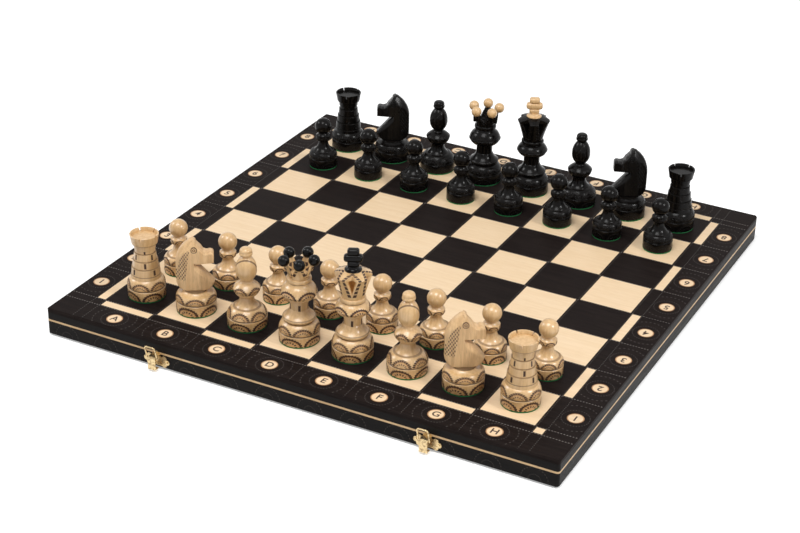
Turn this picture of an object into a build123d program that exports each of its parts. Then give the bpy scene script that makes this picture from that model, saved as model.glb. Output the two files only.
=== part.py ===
from build123d import *
import math
import os

# A folding wooden chess board that lies open, playing face up, with its thirty-two chessmen set out.
# Millimetres. X runs along the files from A to H, Y along the ranks from 1 to 8, +Z is up.
# The origin is the middle of the fold, in the plane of the board's underside.
# The near half carries ranks 1 to 4. The far half is the near one turned half a turn about Z.

# Board
BOARD = 520.0            # side of the open board
BORDER = 28.6            # dark border between the band and the board's edge
BAND = 10.2              # checkered band round the playing field
THICK = 26.4             # underside to playing face
PANEL = 4.0              # thickness of the playing panels
RAIL = 12.0              # width of the rails under the panels
CORNER_R = 3.0           # rounding of the outer corners in plan
EDGE_CHAMFER = 1.2       # chamfer round the playing face
FOLD_GAP = 0.3           # gap between the halves, open and closed
INLAY = 1.2              # depth of the pale inlays
FILE_LINE = 3.4          # dark line between pale squares of neighbouring files
RANK_LINE = 1.8          # dark line between pale squares of neighbouring ranks
BAND_LINE = 0.9          # dark line on each side of the band's pale strips
DISC_R = 7.6             # coordinate discs in the border
STRING_Z = 13.2          # underside of the pale stringing in the rails
STRING_H = 2.0           # height of the stringing
STRING_DEEP = 2.0        # depth of the stringing's groove

# Hinges
HINGE_X = 150.0          # each hinge's distance from the middle
HINGE_LEN = 40.0
KNUCKLE_R = 1.9
PIN_R = 0.8
PIN_CLEAR = 0.05         # running clearance of the pin in the far knuckle
KNUCKLE_GAP = 0.3        # end play between knuckles
RELIEF = 0.35            # room round the knuckles
LEAF = 1.2               # leaf thickness
LEAF_SUNK = 0.05         # leaf below the rail's face
LEAF_WIDE = 10.5         # fold line to the leaf's outer edge
SCREW_X = 13.0           # screws from the hinge's middle
SCREW_Y = 6.5            # screws from the fold line
SCREW_HEAD_R = 2.1
SCREW_HEAD = 0.8
SCREW_R = 1.0
SCREW_LEN = 8.0

# Clasps
CLASP_X = 138.0          # each clasp's distance from the middle
CLASP_SHEET = 0.9        # thickness of the brass sheet
CLASP_LIFT = 0.6         # plate above the underside of the rail
LOBE_R = 2.6             # round lobes of the plate's outline
LOBE_X = 11.0            # middle of the outermost lobes
LOBE_SIDE_X = 8.0        # middle of the upper and lower side lobes
LOBE_SIDE_Z = 3.2        # their distance above and below the outermost lobes
LOBE_MID_Z = 5.8         # height of the outermost lobes above the plate's foot
LOBE_TOP_Z = 13.0        # top lobe above the plate's foot
STRAP = 8.0              # width of the rolled strap
STRAP_OUT = 7.4          # bail axis from the rail's face
STRAP_UP = 11.5          # bail axis above the underside
EYE_WALL = 0.9
BAIL_WIRE = 0.7          # radius of the bail's wire
BAIL_CLEAR = 0.08        # running clearance of the wire in its eye
BAIL_SIDE = 0.6          # bail's leg from the strap's side
BAIL_LEN = 14.0          # bail axis to its far bar
BAIL_LEAN = 75.0         # lean of the resting bail above the horizontal
BAIL_CORNER = 2.4        # bend of the wire at its corners
HOOK_CLEAR = 0.25        # bail's bar to the catch hook's lip, board closed
HOOK_UP = 9.6            # catch hook's strap above the underside
NAIL_R = 0.6
NAIL_HEAD_R = 1.2
NAIL_HEAD = 0.6
NAIL_LEN = 6.0

# Chessmen, measured up from the playing face
FELT = 1.2               # green felt under each base
FELT_INSET = 0.3         # felt inside the base's edge
FOOT_CHAMFER = 0.7
GROOVE = 0.9             # turned grooves, half their width and their depth
STEP = 0.6               # turned steps
SHOULDER_BULGE = 1.3     # rounding of the shoulders over a straight slope
CONE_HOLLOW = 1.5        # hollow of the necks
COLLAR_BULGE = 1.3       # rounding of the collars' undersides
COVE = 0.4               # hollow of the small coves

PAWN_R = 15.0
PAWN_DRUM = 11.4
PAWN_SHOULDER_R = 11.4
PAWN_SHOULDER = 7.4
PAWN_NECK_R = 5.0
PAWN_CONE = 10.8
PAWN_COLLAR_R = 7.9
PAWN_CUP = 5.0           # underside of the collar
PAWN_RIM = 1.1           # its upright rim
PAWN_TOP = 3.1           # rim to ball
PAWN_BALL_R = 8.9

ROOK_R = 17.8
ROOK_DRUM = 11.6
ROOK_SHOULDER_R = 14.3
ROOK_SHOULDER = 9.5
ROOK_FOOTING = 3.6       # shoulder to the lowest ring
ROOK_RINGS = 3
ROOK_RING = 7.5
ROOK_TAPER = 0.7         # each ring narrows by this
ROOK_LEDGE = 0.75        # ledge on top of each ring
ROOK_NECK = 3.6
ROOK_BEAD_OUT = 0.6      # bead beyond the neck
ROOK_BEAD = 5.5
ROOK_BEAD_FLARE = 0.4
ROOK_CUP_OUT = 1.8       # cup beyond the bead
ROOK_CUP = 9.1
ROOK_CUP_R = 13.7
ROOK_LIP = 1.5
ROOK_DISH = 3.2
ROOK_SLOTS = 5
ROOK_SLOT = 1.7

KNIGHT_R = 18.8
KNIGHT_DRUM = 12.2
KNIGHT_SHOULDER_R = 16.6
KNIGHT_SHOULDER = 7.2
KNIGHT_BULGE = 0.8       # rounding of the knight's steeper shoulder
KNIGHT_LIP_R = 12.0
KNIGHT_LIP = 1.6
KNIGHT_NECK_R = 11.2
KNIGHT_NECK = 1.6
HEAD_THICK = 15.6
MANE_THIN = 0.45         # edge of the mane as a share of the thickness
NOSE_THIN = 0.7          # tip of the nose likewise
EAR_THIN = 0.6           # tip of the ear likewise
EAR_LOW = 0.8            # share of the height from which the ear thins
MANE_IN = 8.5            # start of the mane's bevel from the axis
HEAD_SOLE_R = 10.8       # round sole of the head, on the neck
HEAD_BULGE_R = 17.6      # fullest radius of the head
HEAD_BULGE_Z = 7.8       # and its height above the sole
HEAD_ROUND = 1.7         # rounding of the head's underside
HEAD_TALL = 51.6         # sole to ear tip
EAR_BACK = 2.4           # ear tip behind the axis
EAR = 2.0                # front edge of the ear
MANE_TALL = 28.7         # straight back of the mane
CREST_OUT = 10.2         # crest of the mane from the axis
CREST_UP = 45.8          # and its height above the sole
NOSE_OUT = 17.2          # nose from the axis
NOSE_LOW = 27.6          # underside of the nose above the sole
NOSE_TALL = 10.2
NOSE_ROUND = 1.8         # rounding of the nose's upper corner
CHEEK_X = 5.2            # start of the nose's taper
BRIDGE_X = 7.6           # foot of the brow
NOSTRIL_X = 13.1         # top of the nose
THROAT_IN = 0.4          # root of the mouth cut behind the axis
THROAT_UP = 0.4          # and above the nose's underside

BISHOP_R = 18.6
BISHOP_DRUM = 11.0
BISHOP_SHOULDER_R = 12.2
BISHOP_SHOULDER = 9.2
BISHOP_NECK_R = 6.6
BISHOP_CONE = 10.2
BISHOP_COLLAR_R = 12.6
BISHOP_CUP = 7.9
BISHOP_RIM = 1.3
BISHOP_TOP = 4.9
BISHOP_COVE = 2.3
BISHOP_WAIST_R = 5.4
MITRE_R = 9.5
MITRE_LOW = 11.6         # waist to the mitre's fullest radius
MITRE_HIGH = 12.6        # and from there to its top
MITRE_BULGE = 1.5
MITRE_TOP_R = 3.9
SLIT = 0.9               # width of the slanted cut in the mitre
SLIT_DEEP = 1.4
SLIT_REACH = 12.0        # cut's far end from the axis, along the slant
SLIT_LEAN = 60.0         # degrees from the level
BISHOP_BALL_R = 5.6
BISHOP_BALL_LOW = 3.9
BISHOP_BALL_HIGH = 4.2
BISHOP_TIP_R = 2.5

ROYAL_R = 18.9           # king and queen share a lower body
ROYAL_DRUM = 11.4
ROYAL_SHOULDER_R = 14.7
ROYAL_SHOULDER = 9.2
BELL_COVE_R = 13.4
BELL_COVE = 1.0
BELL_UNDER = 1.4
BELL_R = 15.0
BELL_RIM = 2.4
BELL = 7.2
WAIST_R = 8.4
WAIST = 9.0
BEAD_EDGE = 0.9          # rounded edges of the beads under coronet and crown

QUEEN_COLLAR_R = 16.4
QUEEN_CUP = 6.8
QUEEN_RIM = 1.6
QUEEN_TOP_R = 12.9
QUEEN_TOP = 6.6
QUEEN_NECK_R = 10.4
QUEEN_NECK = 3.6
QUEEN_BEAD_R = 11.3
QUEEN_BEAD = 2.6
CORONET_FOOT_R = 9.8
CORONET_R = 13.2
CORONET = 14.0
CORONET_WALL = 2.2
CORONET_FLOOR = 3.0
CORONET_POINTS = 5
NOTCH_DEEP = 11.5
NOTCH_WIDE = 11.0
QUEEN_BALL_R = 5.3
QUEEN_BALL_RING = 14.2   # balls from the axis
QUEEN_BALL_UP = 3.7      # balls' middles above the rim

KING_COLLAR_R = 15.8
KING_CUP = 5.8
KING_RIM = 1.6
KING_TOP_R = 11.9
KING_TOP = 5.6
KING_NECK_R = 10.6
KING_NECK = 1.0
KING_BEAD_R = 11.6
KING_BEAD = 2.4
CROWN_FOOT_R = 10.2
CROWN_R = 16.6
CROWN = 21.0
CROWN_EDGE = 2.0         # rounded edge of the crown
CROWN_DOME = 3.0
CROWN_NOTCHES = 5
CROWN_NOTCH_R = 10.9     # root of the crown's V notches from the axis
CROWN_NOTCH_OPEN = 1.2   # their half width for each millimetre of depth
FINIAL_R = 7.8
FINIAL_FOOT = 4.2
FINIAL_STEM = 4.6
FINIAL_STEM_W = 10.6
FINIAL_ARM = 6.4
FINIAL_ARM_W = 17.0
FINIAL_TOP = 5.6
FINIAL_TOP_W = 10.8
FINIAL_THICK = 7.6
FINIAL_ROUND = 0.38      # rounding of its lobes as a share of their height

# Headings, in degrees from +X
WHITE_HEADING = 32.0     # knights' noses
BLACK_HEADING = 207.0
WHITE_SLIT = -62.0       # bishops' slits
BLACK_SLIT = -8.0
WHITE_NOTCH = -66.0      # a notch of each king's crown
BLACK_NOTCH = -28.0
WHITE_BALLS = 14.0       # a ball of each queen's coronet
BLACK_BALLS = 34.0
FINIAL_HEADING = 26.5    # arms of both kings' crosses

HALF = BOARD / 2
SQUARE = (HALF - BORDER - BAND) / 4
FIELD = 4 * SQUARE
RAIL_H = THICK - PANEL
FOLD_Y = FOLD_GAP / 2
AXIS_Z = -FOLD_GAP / 2
DISC_AT = (FIELD + BAND + HALF) / 2
FAR = Rot(0, 0, 180)


def save(name, *solids):
    """Write one node: a single solid, or a group of separate ones."""
    shape = solids[0] if len(solids) == 1 else Compound(children=list(solids))
    export_step(shape, f"parts/{name}.step")


def block(x0, x1, y0, y1, z0, z1):
    """A box between two corners."""
    middle = Pos((x0 + x1) / 2, (y0 + y1) / 2, (z0 + z1) / 2)
    return middle * Box(x1 - x0, y1 - y0, z1 - z0)


def rod(radius, length, axis=(0, 0, 1)):
    """A cylinder centred on the origin, along an axis."""
    return Plane(origin=(0, 0, 0), z_dir=axis) * Cylinder(radius, length)


# Board halves

def half_plan(inset, z0, z1):
    """The near half's outline with rounded outer corners, drawn in by inset on its three outer sides."""
    side = HALF - inset
    corner = max(CORNER_R - inset, 0.2)
    outline = Polyline((-side, -FOLD_Y), (-side, -side), (side, -side), (side, -FOLD_Y), close=True)
    face = fillet(make_face(outline).vertices().sort_by(Axis.Y)[:2], corner)
    return Pos(0, 0, z0) * extrude(face, z1 - z0)


def pale_pieces():
    """The near half's pale inlays: squares, strips of the band, its corner square and the discs."""
    pieces = []
    low = THICK - INLAY

    def slab(x, y, wide, deep):
        pieces.append(Pos(x, y, low + INLAY / 2) * Box(wide, deep, INLAY))

    wide = SQUARE - FILE_LINE
    deep = SQUARE - RANK_LINE
    strip = BAND - 2 * BAND_LINE
    band = FIELD + BAND / 2
    for rank in range(4):
        y = (rank - 3.5) * SQUARE
        for file in range(8):
            if (file + rank) % 2:
                slab((file - 3.5) * SQUARE, y, wide, deep)
        slab(band if rank % 2 else -band, y, strip, deep)
    for file in range(0, 8, 2):
        slab((file - 3.5) * SQUARE, -band, wide, strip)
    slab(band, -band, strip, strip)
    places = [((i - 3.5) * SQUARE, -DISC_AT) for i in range(8)]
    places += [(side * DISC_AT, (i - 3.5) * SQUARE) for side in (-1, 1) for i in range(4)]
    for x, y in places:
        pieces.append(Pos(x, y, low + INLAY / 2) * Cylinder(DISC_R, INLAY))
    return pieces


def make_panel(inlays):
    panel = half_plan(0, RAIL_H, THICK)
    top = panel.faces().sort_by(Axis.Z)[-1]
    rim = [edge for edge in top.edges() if edge.center().Y < -FOLD_GAP]
    panel = chamfer(rim, EDGE_CHAMFER)
    return panel - inlays


def make_stringing():
    """Pale lines let into the rails: one along the front and one down each side."""
    top = STRING_Z + STRING_H
    ring = half_plan(0, STRING_Z, top) - half_plan(STRING_DEEP, STRING_Z - 1, top + 1)
    turn = -HALF + CORNER_R + STRING_DEEP
    front = ring & block(-HALF, HALF, -HALF, turn, STRING_Z, top)
    left = ring & block(-HALF, 0, turn, 0, STRING_Z, top)
    right = ring & block(0, HALF, turn, 0, STRING_Z, top)
    return [front.solid(), left.solid(), right.solid()]


def make_rails():
    plan = half_plan(0, 0, RAIL_H)
    inner = HALF - RAIL
    spine = -FOLD_Y - RAIL
    spans = {
        "front": (-HALF, HALF, -HALF, -inner),
        "left": (-HALF, -inner, -inner, spine),
        "right": (inner, HALF, -inner, spine),
        "spine": (-HALF, HALF, spine, -FOLD_Y),
    }
    return {name: (plan & block(*span, 0, RAIL_H)).solid() for name, span in spans.items()}


# Hinges

def knuckle_spans():
    """The three knuckles along X: the near leaf has the outer two and the far leaf the middle one."""
    third = HINGE_LEN / 3
    gap = KNUCKLE_GAP / 2
    near = [(-HINGE_LEN / 2, -third / 2 - gap), (third / 2 + gap, HINGE_LEN / 2)]
    far = [(-third / 2 + gap, third / 2 - gap)]
    return near, far


def make_leaf(spans, bore):
    """A leaf on the near side of the fold, with its knuckles and screw holes."""
    clear = KNUCKLE_R + RELIEF
    half = HINGE_LEN / 2
    top = LEAF_SUNK + LEAF
    leaf = block(-half, half, -LEAF_WIDE, -clear, LEAF_SUNK, top)
    for x0, x1 in spans:
        middle = Pos((x0 + x1) / 2, 0, AXIS_Z)
        leaf += block(x0, x1, -clear, -KNUCKLE_R / 2, LEAF_SUNK, top)
        leaf += middle * rod(KNUCKLE_R, x1 - x0, (1, 0, 0))
    leaf -= Pos(0, 0, AXIS_Z) * rod(bore, HINGE_LEN + 2, (1, 0, 0))
    return leaf


def make_screw():
    """A flat-headed screw driven upwards, its head flush with the leaf's face."""
    head = Pos(0, 0, LEAF_SUNK + SCREW_HEAD / 2) * Cylinder(SCREW_HEAD_R, SCREW_HEAD)
    shank = Pos(0, 0, LEAF_SUNK + SCREW_HEAD + SCREW_LEN / 2) * Cylinder(SCREW_R, SCREW_LEN)
    return head + shank


def hinge_screws():
    screw = make_screw()
    return [Pos(hinge + x, -SCREW_Y, 0) * screw
            for hinge in (-HINGE_X, HINGE_X) for x in (-SCREW_X, SCREW_X)]


def hinge_room():
    """What the hinges take out of a spine rail: the leaf mortises and the room for the knuckles."""
    half = HINGE_LEN / 2
    cuts = []
    for hinge in (-HINGE_X, HINGE_X):
        mortise = block(hinge - half, hinge + half, -LEAF_WIDE, 0, -1, LEAF_SUNK + LEAF)
        barrel = Pos(hinge, 0, AXIS_Z) * rod(KNUCKLE_R + RELIEF, HINGE_LEN, (1, 0, 0))
        cuts += [mortise, barrel]
    return cuts


# Clasps, drawn at the origin: X along the rail, -Y out of the board, Z up from the underside

def lobed_plate():
    """The lobed brass plate that lies on the rail's outer face."""
    middle = CLASP_LIFT + LOBE_MID_Z
    lobes = [(side * LOBE_X, middle) for side in (-1, 1)]
    lobes += [(side * LOBE_SIDE_X, middle + rise)
              for side in (-1, 1) for rise in (-LOBE_SIDE_Z, LOBE_SIDE_Z)]
    lobes.append((0, CLASP_LIFT + LOBE_TOP_Z))
    face = Pos(0, middle) * Rectangle(2 * LOBE_SIDE_X, 2 * LOBE_SIDE_Z + LOBE_R)
    face += Pos(0, (middle + CLASP_LIFT + LOBE_TOP_Z) / 2) * Rectangle(STRAP, LOBE_TOP_Z - LOBE_MID_Z)
    for x, z in lobes:
        face += Pos(x, z) * Circle(LOBE_R)
    return Plane.XZ * extrude(face, CLASP_SHEET)


def strap_bar(y0, y1, z0, z1):
    return block(-STRAP / 2, STRAP / 2, y0, y1, z0, z1)


def make_clasp_plate():
    """Lobed plate, with a strap folded out of it and rolled round the bail's axis."""
    eye = BAIL_WIRE + BAIL_CLEAR
    roll = eye + EYE_WALL
    front = -STRAP_OUT - roll
    foot = CLASP_LIFT
    plate = lobed_plate()
    plate += strap_bar(-STRAP_OUT, 0, STRAP_UP + roll - CLASP_SHEET, STRAP_UP + roll)
    plate += Pos(0, -STRAP_OUT, STRAP_UP) * rod(roll, STRAP, (1, 0, 0))
    plate += strap_bar(front, front + CLASP_SHEET, foot, STRAP_UP)
    plate += strap_bar(front, -STRAP_OUT / 2, foot, foot + CLASP_SHEET)
    return plate - Pos(0, -STRAP_OUT, STRAP_UP) * rod(eye, STRAP + 2, (1, 0, 0))


def bail_side():
    return STRAP / 2 + BAIL_SIDE + BAIL_WIRE


def make_bail():
    """A closed wire loop through the strap's eye, leaning up and out of the board."""
    side = bail_side()
    outline = Polyline((-side, 0), (side, 0), (side, BAIL_LEN), (-side, BAIL_LEN), close=True)
    face = make_face(outline)
    face = fillet(face.vertices().sort_by(Axis.Y)[2:], BAIL_CORNER)
    face = fillet(face.vertices().sort_by(Axis.Y)[:2], BAIL_SIDE + BAIL_WIRE / 2)
    path = face.face().outer_wire()
    start = path.position_at(0)
    wire = sweep(Plane(origin=start, z_dir=path.tangent_at(0)) * Circle(BAIL_WIRE), path=path)
    lean = Plane(origin=(0, -STRAP_OUT, STRAP_UP), x_dir=(1, 0, 0),
                 z_dir=(0, -math.sin(math.radians(BAIL_LEAN)), -math.cos(math.radians(BAIL_LEAN))))
    return lean * wire


def make_catch():
    """The far half's lobed plate, with a hook whose lip stands before the closed bail's bar."""
    roll = BAIL_WIRE + BAIL_CLEAR + EYE_WALL
    front = -STRAP_OUT - roll
    bar_low = BAIL_LEN - STRAP_UP - FOLD_GAP
    lip = bar_low + BAIL_WIRE + HOOK_CLEAR
    plate = lobed_plate()
    plate += strap_bar(front, 0, HOOK_UP, HOOK_UP + CLASP_SHEET)
    plate += strap_bar(front, front + CLASP_SHEET, lip, HOOK_UP + CLASP_SHEET)
    return plate


def make_nails():
    """Round-headed nails through a clasp plate's outermost lobes."""
    nails = []
    for side in (-1, 1):
        shank = rod(NAIL_R, NAIL_LEN, (0, 1, 0))
        head = Pos(0, -CLASP_SHEET - NAIL_HEAD / 2, 0) * rod(NAIL_HEAD_R, NAIL_HEAD, (0, 1, 0))
        nail = Pos(0, NAIL_LEN / 2 - CLASP_SHEET, 0) * shank + head
        nails.append(Pos(side * LOBE_X, 0, CLASP_LIFT + LOBE_MID_Z) * nail)
    return nails


def at_clasps(shapes):
    """Copies of clasp shapes at both places on the near half's front face."""
    return [Pos(side * CLASP_X, -HALF, 0) * shape for side in (-1, 1) for shape in shapes]


# Chessmen, drawn on the Z axis with their felt on z = 0

class Turning:
    """Half outline of a turned piece, walked upwards from its foot."""

    def __init__(self, z):
        self.edges = []
        self.r = 0.0
        self.z = z
        self.foot = z

    def to(self, r, rise=0.0, bulge=0.0):
        """Go to a radius and up by rise, on a line or on an arc that bulges out by bulge."""
        here = Vector(self.r, 0, self.z)
        there = Vector(r, 0, self.z + rise)
        if bulge:
            run = there - here
            out = Vector(run.Z, 0, -run.X).normalized()
            middle = (here + there) * 0.5 + out * bulge
            self.edges.append(ThreePointArc(here, middle, there))
        else:
            self.edges.append(Line(here, there))
        self.r = r
        self.z += rise
        return self

    def groove(self, depth=GROOVE):
        """A V groove that starts and ends at the present radius."""
        r = self.r
        return self.to(r - depth, depth).to(r, depth)

    def ball(self, radius):
        """Close the outline with a ball that sits on the present radius."""
        drop = math.sqrt(radius ** 2 - self.r ** 2)
        here = Vector(self.r, 0, self.z)
        middle = Vector(radius, 0, self.z + drop)
        top = Vector(0, 0, self.z + drop + radius)
        self.edges.append(ThreePointArc(here, middle, top))
        self.r = 0.0
        self.z = top.Z
        return self

    def solid(self):
        if self.r:
            self.to(0)
        edges = self.edges + [Line((0, 0, self.z), (0, 0, self.foot))]
        return revolve(make_face(edges), Axis.Z)


def felt(radius):
    return Pos(0, 0, FELT / 2) * Cylinder(radius - FELT_INSET, FELT)


def foot(radius, drum, shoulder_r, shoulder, bulge=SHOULDER_BULGE):
    """The foot that all chessmen share: drum, groove and round shoulder."""
    turning = Turning(FELT).to(radius - FOOT_CHAMFER).to(radius, FOOT_CHAMFER)
    turning.to(radius, drum - FELT - FOOT_CHAMFER - GROOVE).groove()
    return turning.to(shoulder_r, shoulder - GROOVE, bulge)


def make_pawn():
    body = foot(PAWN_R, PAWN_DRUM, PAWN_SHOULDER_R, PAWN_SHOULDER).to(PAWN_SHOULDER_R - STEP)
    body.to(PAWN_NECK_R, PAWN_CONE, -CONE_HOLLOW)
    body.to(PAWN_COLLAR_R, PAWN_CUP, COLLAR_BULGE).to(PAWN_COLLAR_R, PAWN_RIM)
    body.to(PAWN_NECK_R, PAWN_TOP, -COVE).ball(PAWN_BALL_R)
    return [body.solid(), felt(PAWN_R)]


def make_rook():
    """A stepped tower under a cup with slots in its rim."""
    body = foot(ROOK_R, ROOK_DRUM, ROOK_SHOULDER_R, ROOK_SHOULDER)
    body.to(ROOK_SHOULDER_R - STEP, ROOK_FOOTING)
    for ring in range(ROOK_RINGS):
        body.to(body.r - ROOK_TAPER, ROOK_RING).to(body.r - ROOK_LEDGE)
    body.to(body.r, ROOK_NECK).to(body.r + ROOK_BEAD_OUT)
    body.to(body.r + ROOK_BEAD_FLARE, ROOK_BEAD).to(body.r + ROOK_CUP_OUT)
    body.to(ROOK_CUP_R, ROOK_CUP).to(ROOK_CUP_R - ROOK_LIP)
    rim = body.z
    body.to(ROOK_CUP_R - 2 * ROOK_LIP, -ROOK_DISH)
    tower = body.solid()
    slot = block(ROOK_CUP_R - 3 * ROOK_LIP, ROOK_CUP_R + 1, -ROOK_SLOT / 2, ROOK_SLOT / 2,
                 rim - ROOK_DISH, rim + 1)
    for i in range(ROOK_SLOTS):
        tower -= Rot(0, 0, 360 * i / ROOK_SLOTS) * slot
    return [tower, felt(ROOK_R)]


def head_outline(sole):
    """Side view of the knight's head, with the nose towards +X."""
    back = -HEAD_BULGE_R
    front = HEAD_BULGE_R
    tip = sole + HEAD_TALL
    brow = sole + NOSE_LOW + NOSE_TALL
    mane = (back, sole + MANE_TALL)
    ear = (-EAR_BACK, tip)
    ear_root = (-EAR_BACK / 2, tip - EAR)
    bridge = (BRIDGE_X, brow + STEP)
    dip = ((BRIDGE_X + NOSTRIL_X) / 2, brow - STEP)
    nostril = (NOSTRIL_X, brow)
    corner = (NOSE_OUT, brow - NOSE_ROUND)
    lip = (NOSE_OUT, sole + NOSE_LOW)
    throat = (-THROAT_IN, sole + NOSE_LOW + THROAT_UP)
    chest = (front, sole + HEAD_BULGE_Z)
    round_x = NOSE_OUT - NOSE_ROUND / 2
    return [
        Line((back, sole), mane),
        ThreePointArc(mane, (-CREST_OUT, sole + CREST_UP), ear),
        Line(ear, ear_root),
        Line(ear_root, bridge),
        ThreePointArc(bridge, dip, nostril),
        ThreePointArc(nostril, (round_x, brow - NOSE_ROUND / 4), corner),
        Line(corner, lip),
        Line(lip, throat),
        Line(throat, chest),
        Line(chest, (front, sole)),
        Line((front, sole), (back, sole)),
    ]


def make_head(sole):
    """The knight's head: turned below, flat at the sides, thinned at the mane, the nose and the ear."""
    back = -HEAD_BULGE_R
    front = HEAD_BULGE_R
    half = HEAD_THICK / 2
    mane = MANE_THIN * half
    nose = NOSE_THIN * half
    ear = EAR_THIN * half
    tip = sole + HEAD_TALL
    ear_low = sole + EAR_LOW * HEAD_TALL
    sides = extrude(Plane.XZ * make_face(head_outline(sole)), half, both=True)
    plan = Polyline((back, mane), (-MANE_IN, half), (CHEEK_X, half), (front, nose),
                    (front, -nose), (CHEEK_X, -half), (-MANE_IN, -half), (back, -mane), close=True)
    view = Polyline((half, sole), (half, ear_low), (ear, tip), (-ear, tip),
                    (-half, ear_low), (-half, sole), close=True)
    blank = Turning(sole).to(HEAD_SOLE_R).to(HEAD_BULGE_R, HEAD_BULGE_Z, HEAD_ROUND)
    blank.to(HEAD_BULGE_R, HEAD_TALL)
    head = sides & Pos(0, 0, sole) * extrude(make_face(plan), HEAD_TALL)
    head = head & extrude(Plane.YZ * make_face(view), HEAD_BULGE_R, both=True)
    head = head & blank.solid()
    return head.solid()


def make_knight():
    """A turned base, a carved head that faces +X, and the felt."""
    base = foot(KNIGHT_R, KNIGHT_DRUM, KNIGHT_SHOULDER_R, KNIGHT_SHOULDER, KNIGHT_BULGE)
    base.to(KNIGHT_LIP_R, KNIGHT_LIP, -COVE).to(KNIGHT_NECK_R, STEP).to(KNIGHT_NECK_R, KNIGHT_NECK)
    sole = base.z
    return [base.solid(), make_head(sole), felt(KNIGHT_R)]


def make_bishop():
    """A mitre with a slanted slit that rises towards +X."""
    body = foot(BISHOP_R, BISHOP_DRUM, BISHOP_SHOULDER_R, BISHOP_SHOULDER).to(BISHOP_SHOULDER_R - STEP)
    body.to(BISHOP_NECK_R, BISHOP_CONE, -CONE_HOLLOW)
    body.to(BISHOP_COLLAR_R, BISHOP_CUP, COLLAR_BULGE).to(BISHOP_COLLAR_R, BISHOP_RIM)
    body.to(BISHOP_WAIST_R + 2 * STEP, BISHOP_TOP, COVE).to(BISHOP_WAIST_R, BISHOP_COVE, -COVE)
    waist = body.z
    body.to(MITRE_R, MITRE_LOW, MITRE_BULGE).to(MITRE_TOP_R, MITRE_HIGH, MITRE_BULGE)
    body.to(BISHOP_BALL_R, BISHOP_BALL_LOW, COLLAR_BULGE).to(BISHOP_TIP_R, BISHOP_BALL_HIGH, COLLAR_BULGE)
    slab = block(0, SLIT_REACH + MITRE_TOP_R, -2 * MITRE_R, 2 * MITRE_R, -SLIT / 2, SLIT / 2)
    slab -= extrude(Ellipse(SLIT_REACH - SLIT_DEEP, MITRE_R - SLIT_DEEP), SLIT, both=True)
    slit = Pos(0, 0, waist + MITRE_LOW) * Rot(0, -SLIT_LEAN, 0) * slab
    return [body.solid() - slit, felt(BISHOP_R)]


def royal_body():
    """The lower body that king and queen share, up to the waist."""
    body = foot(ROYAL_R, ROYAL_DRUM, ROYAL_SHOULDER_R, ROYAL_SHOULDER)
    body.to(BELL_COVE_R, BELL_COVE).to(BELL_R, BELL_UNDER).to(BELL_R, BELL_RIM, COVE)
    return body.to(WAIST_R + STEP, BELL, -2 * COVE).to(WAIST_R, STEP).to(WAIST_R, WAIST)


def bead(body, radius, height):
    """A turned ring with rounded edges."""
    body.to(radius, BEAD_EDGE, COVE / 2).to(radius, height)
    return body.to(radius - BEAD_EDGE, BEAD_EDGE, COVE / 2)


def make_queen():
    """The queen's turned body with its notched coronet, and the balls on the points."""
    body = royal_body()
    body.to(QUEEN_COLLAR_R, QUEEN_CUP, COLLAR_BULGE).to(QUEEN_COLLAR_R, QUEEN_RIM, COVE)
    body.to(QUEEN_TOP_R, QUEEN_TOP, STEP).to(QUEEN_NECK_R, QUEEN_NECK, -COVE)
    bead(body, QUEEN_BEAD_R, QUEEN_BEAD).to(CORONET_FOOT_R)
    floor = body.z + CORONET_FLOOR
    body.to(CORONET_R, CORONET, -STEP)
    rim = body.z
    body.to(CORONET_R - CORONET_WALL).to(CORONET_FOOT_R - CORONET_WALL, floor - rim)
    queen = body.solid()
    notch = make_face(Polyline((0, rim - NOTCH_DEEP), (NOTCH_WIDE / 2, rim), (NOTCH_WIDE / 2, rim + 1),
                               (-NOTCH_WIDE / 2, rim + 1), (-NOTCH_WIDE / 2, rim), close=True))
    notch = extrude(Plane.YZ * notch, QUEEN_BALL_RING + QUEEN_BALL_R)
    ball = Pos(QUEEN_BALL_RING, 0, rim + QUEEN_BALL_UP) * Sphere(QUEEN_BALL_R)
    turn = 360 / CORONET_POINTS
    balls = [Rot(0, 0, turn * i) * ball for i in range(CORONET_POINTS)]
    for i in range(CORONET_POINTS):
        queen -= Rot(0, 0, turn * (i + 0.5)) * notch
        queen -= balls[i]
    return [queen, felt(ROYAL_R)], balls


def make_finial():
    """The king's lobed cross on its turned foot, standing on z = 0 with its arms along X."""
    stem = Turning(0).to(FINIAL_R).to(FINIAL_R - STEP / 2, 2 * STEP)
    stem.to(FINIAL_STEM_W / 2 - STEP, FINIAL_FOOT - 2 * STEP, -2 * COVE)
    bars = [(FINIAL_STEM_W, FINIAL_STEM), (FINIAL_ARM_W, FINIAL_ARM), (FINIAL_TOP_W, FINIAL_TOP)]
    z = FINIAL_FOOT - STEP
    cross = Sketch()
    for wide, tall in bars:
        tall += STEP
        cross += Pos(0, z + tall / 2) * RectangleRounded(wide, tall, FINIAL_ROUND * tall)
        z += tall - STEP
    return stem.solid() + extrude(Plane.XZ * cross, FINIAL_THICK / 2, both=True)


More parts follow.
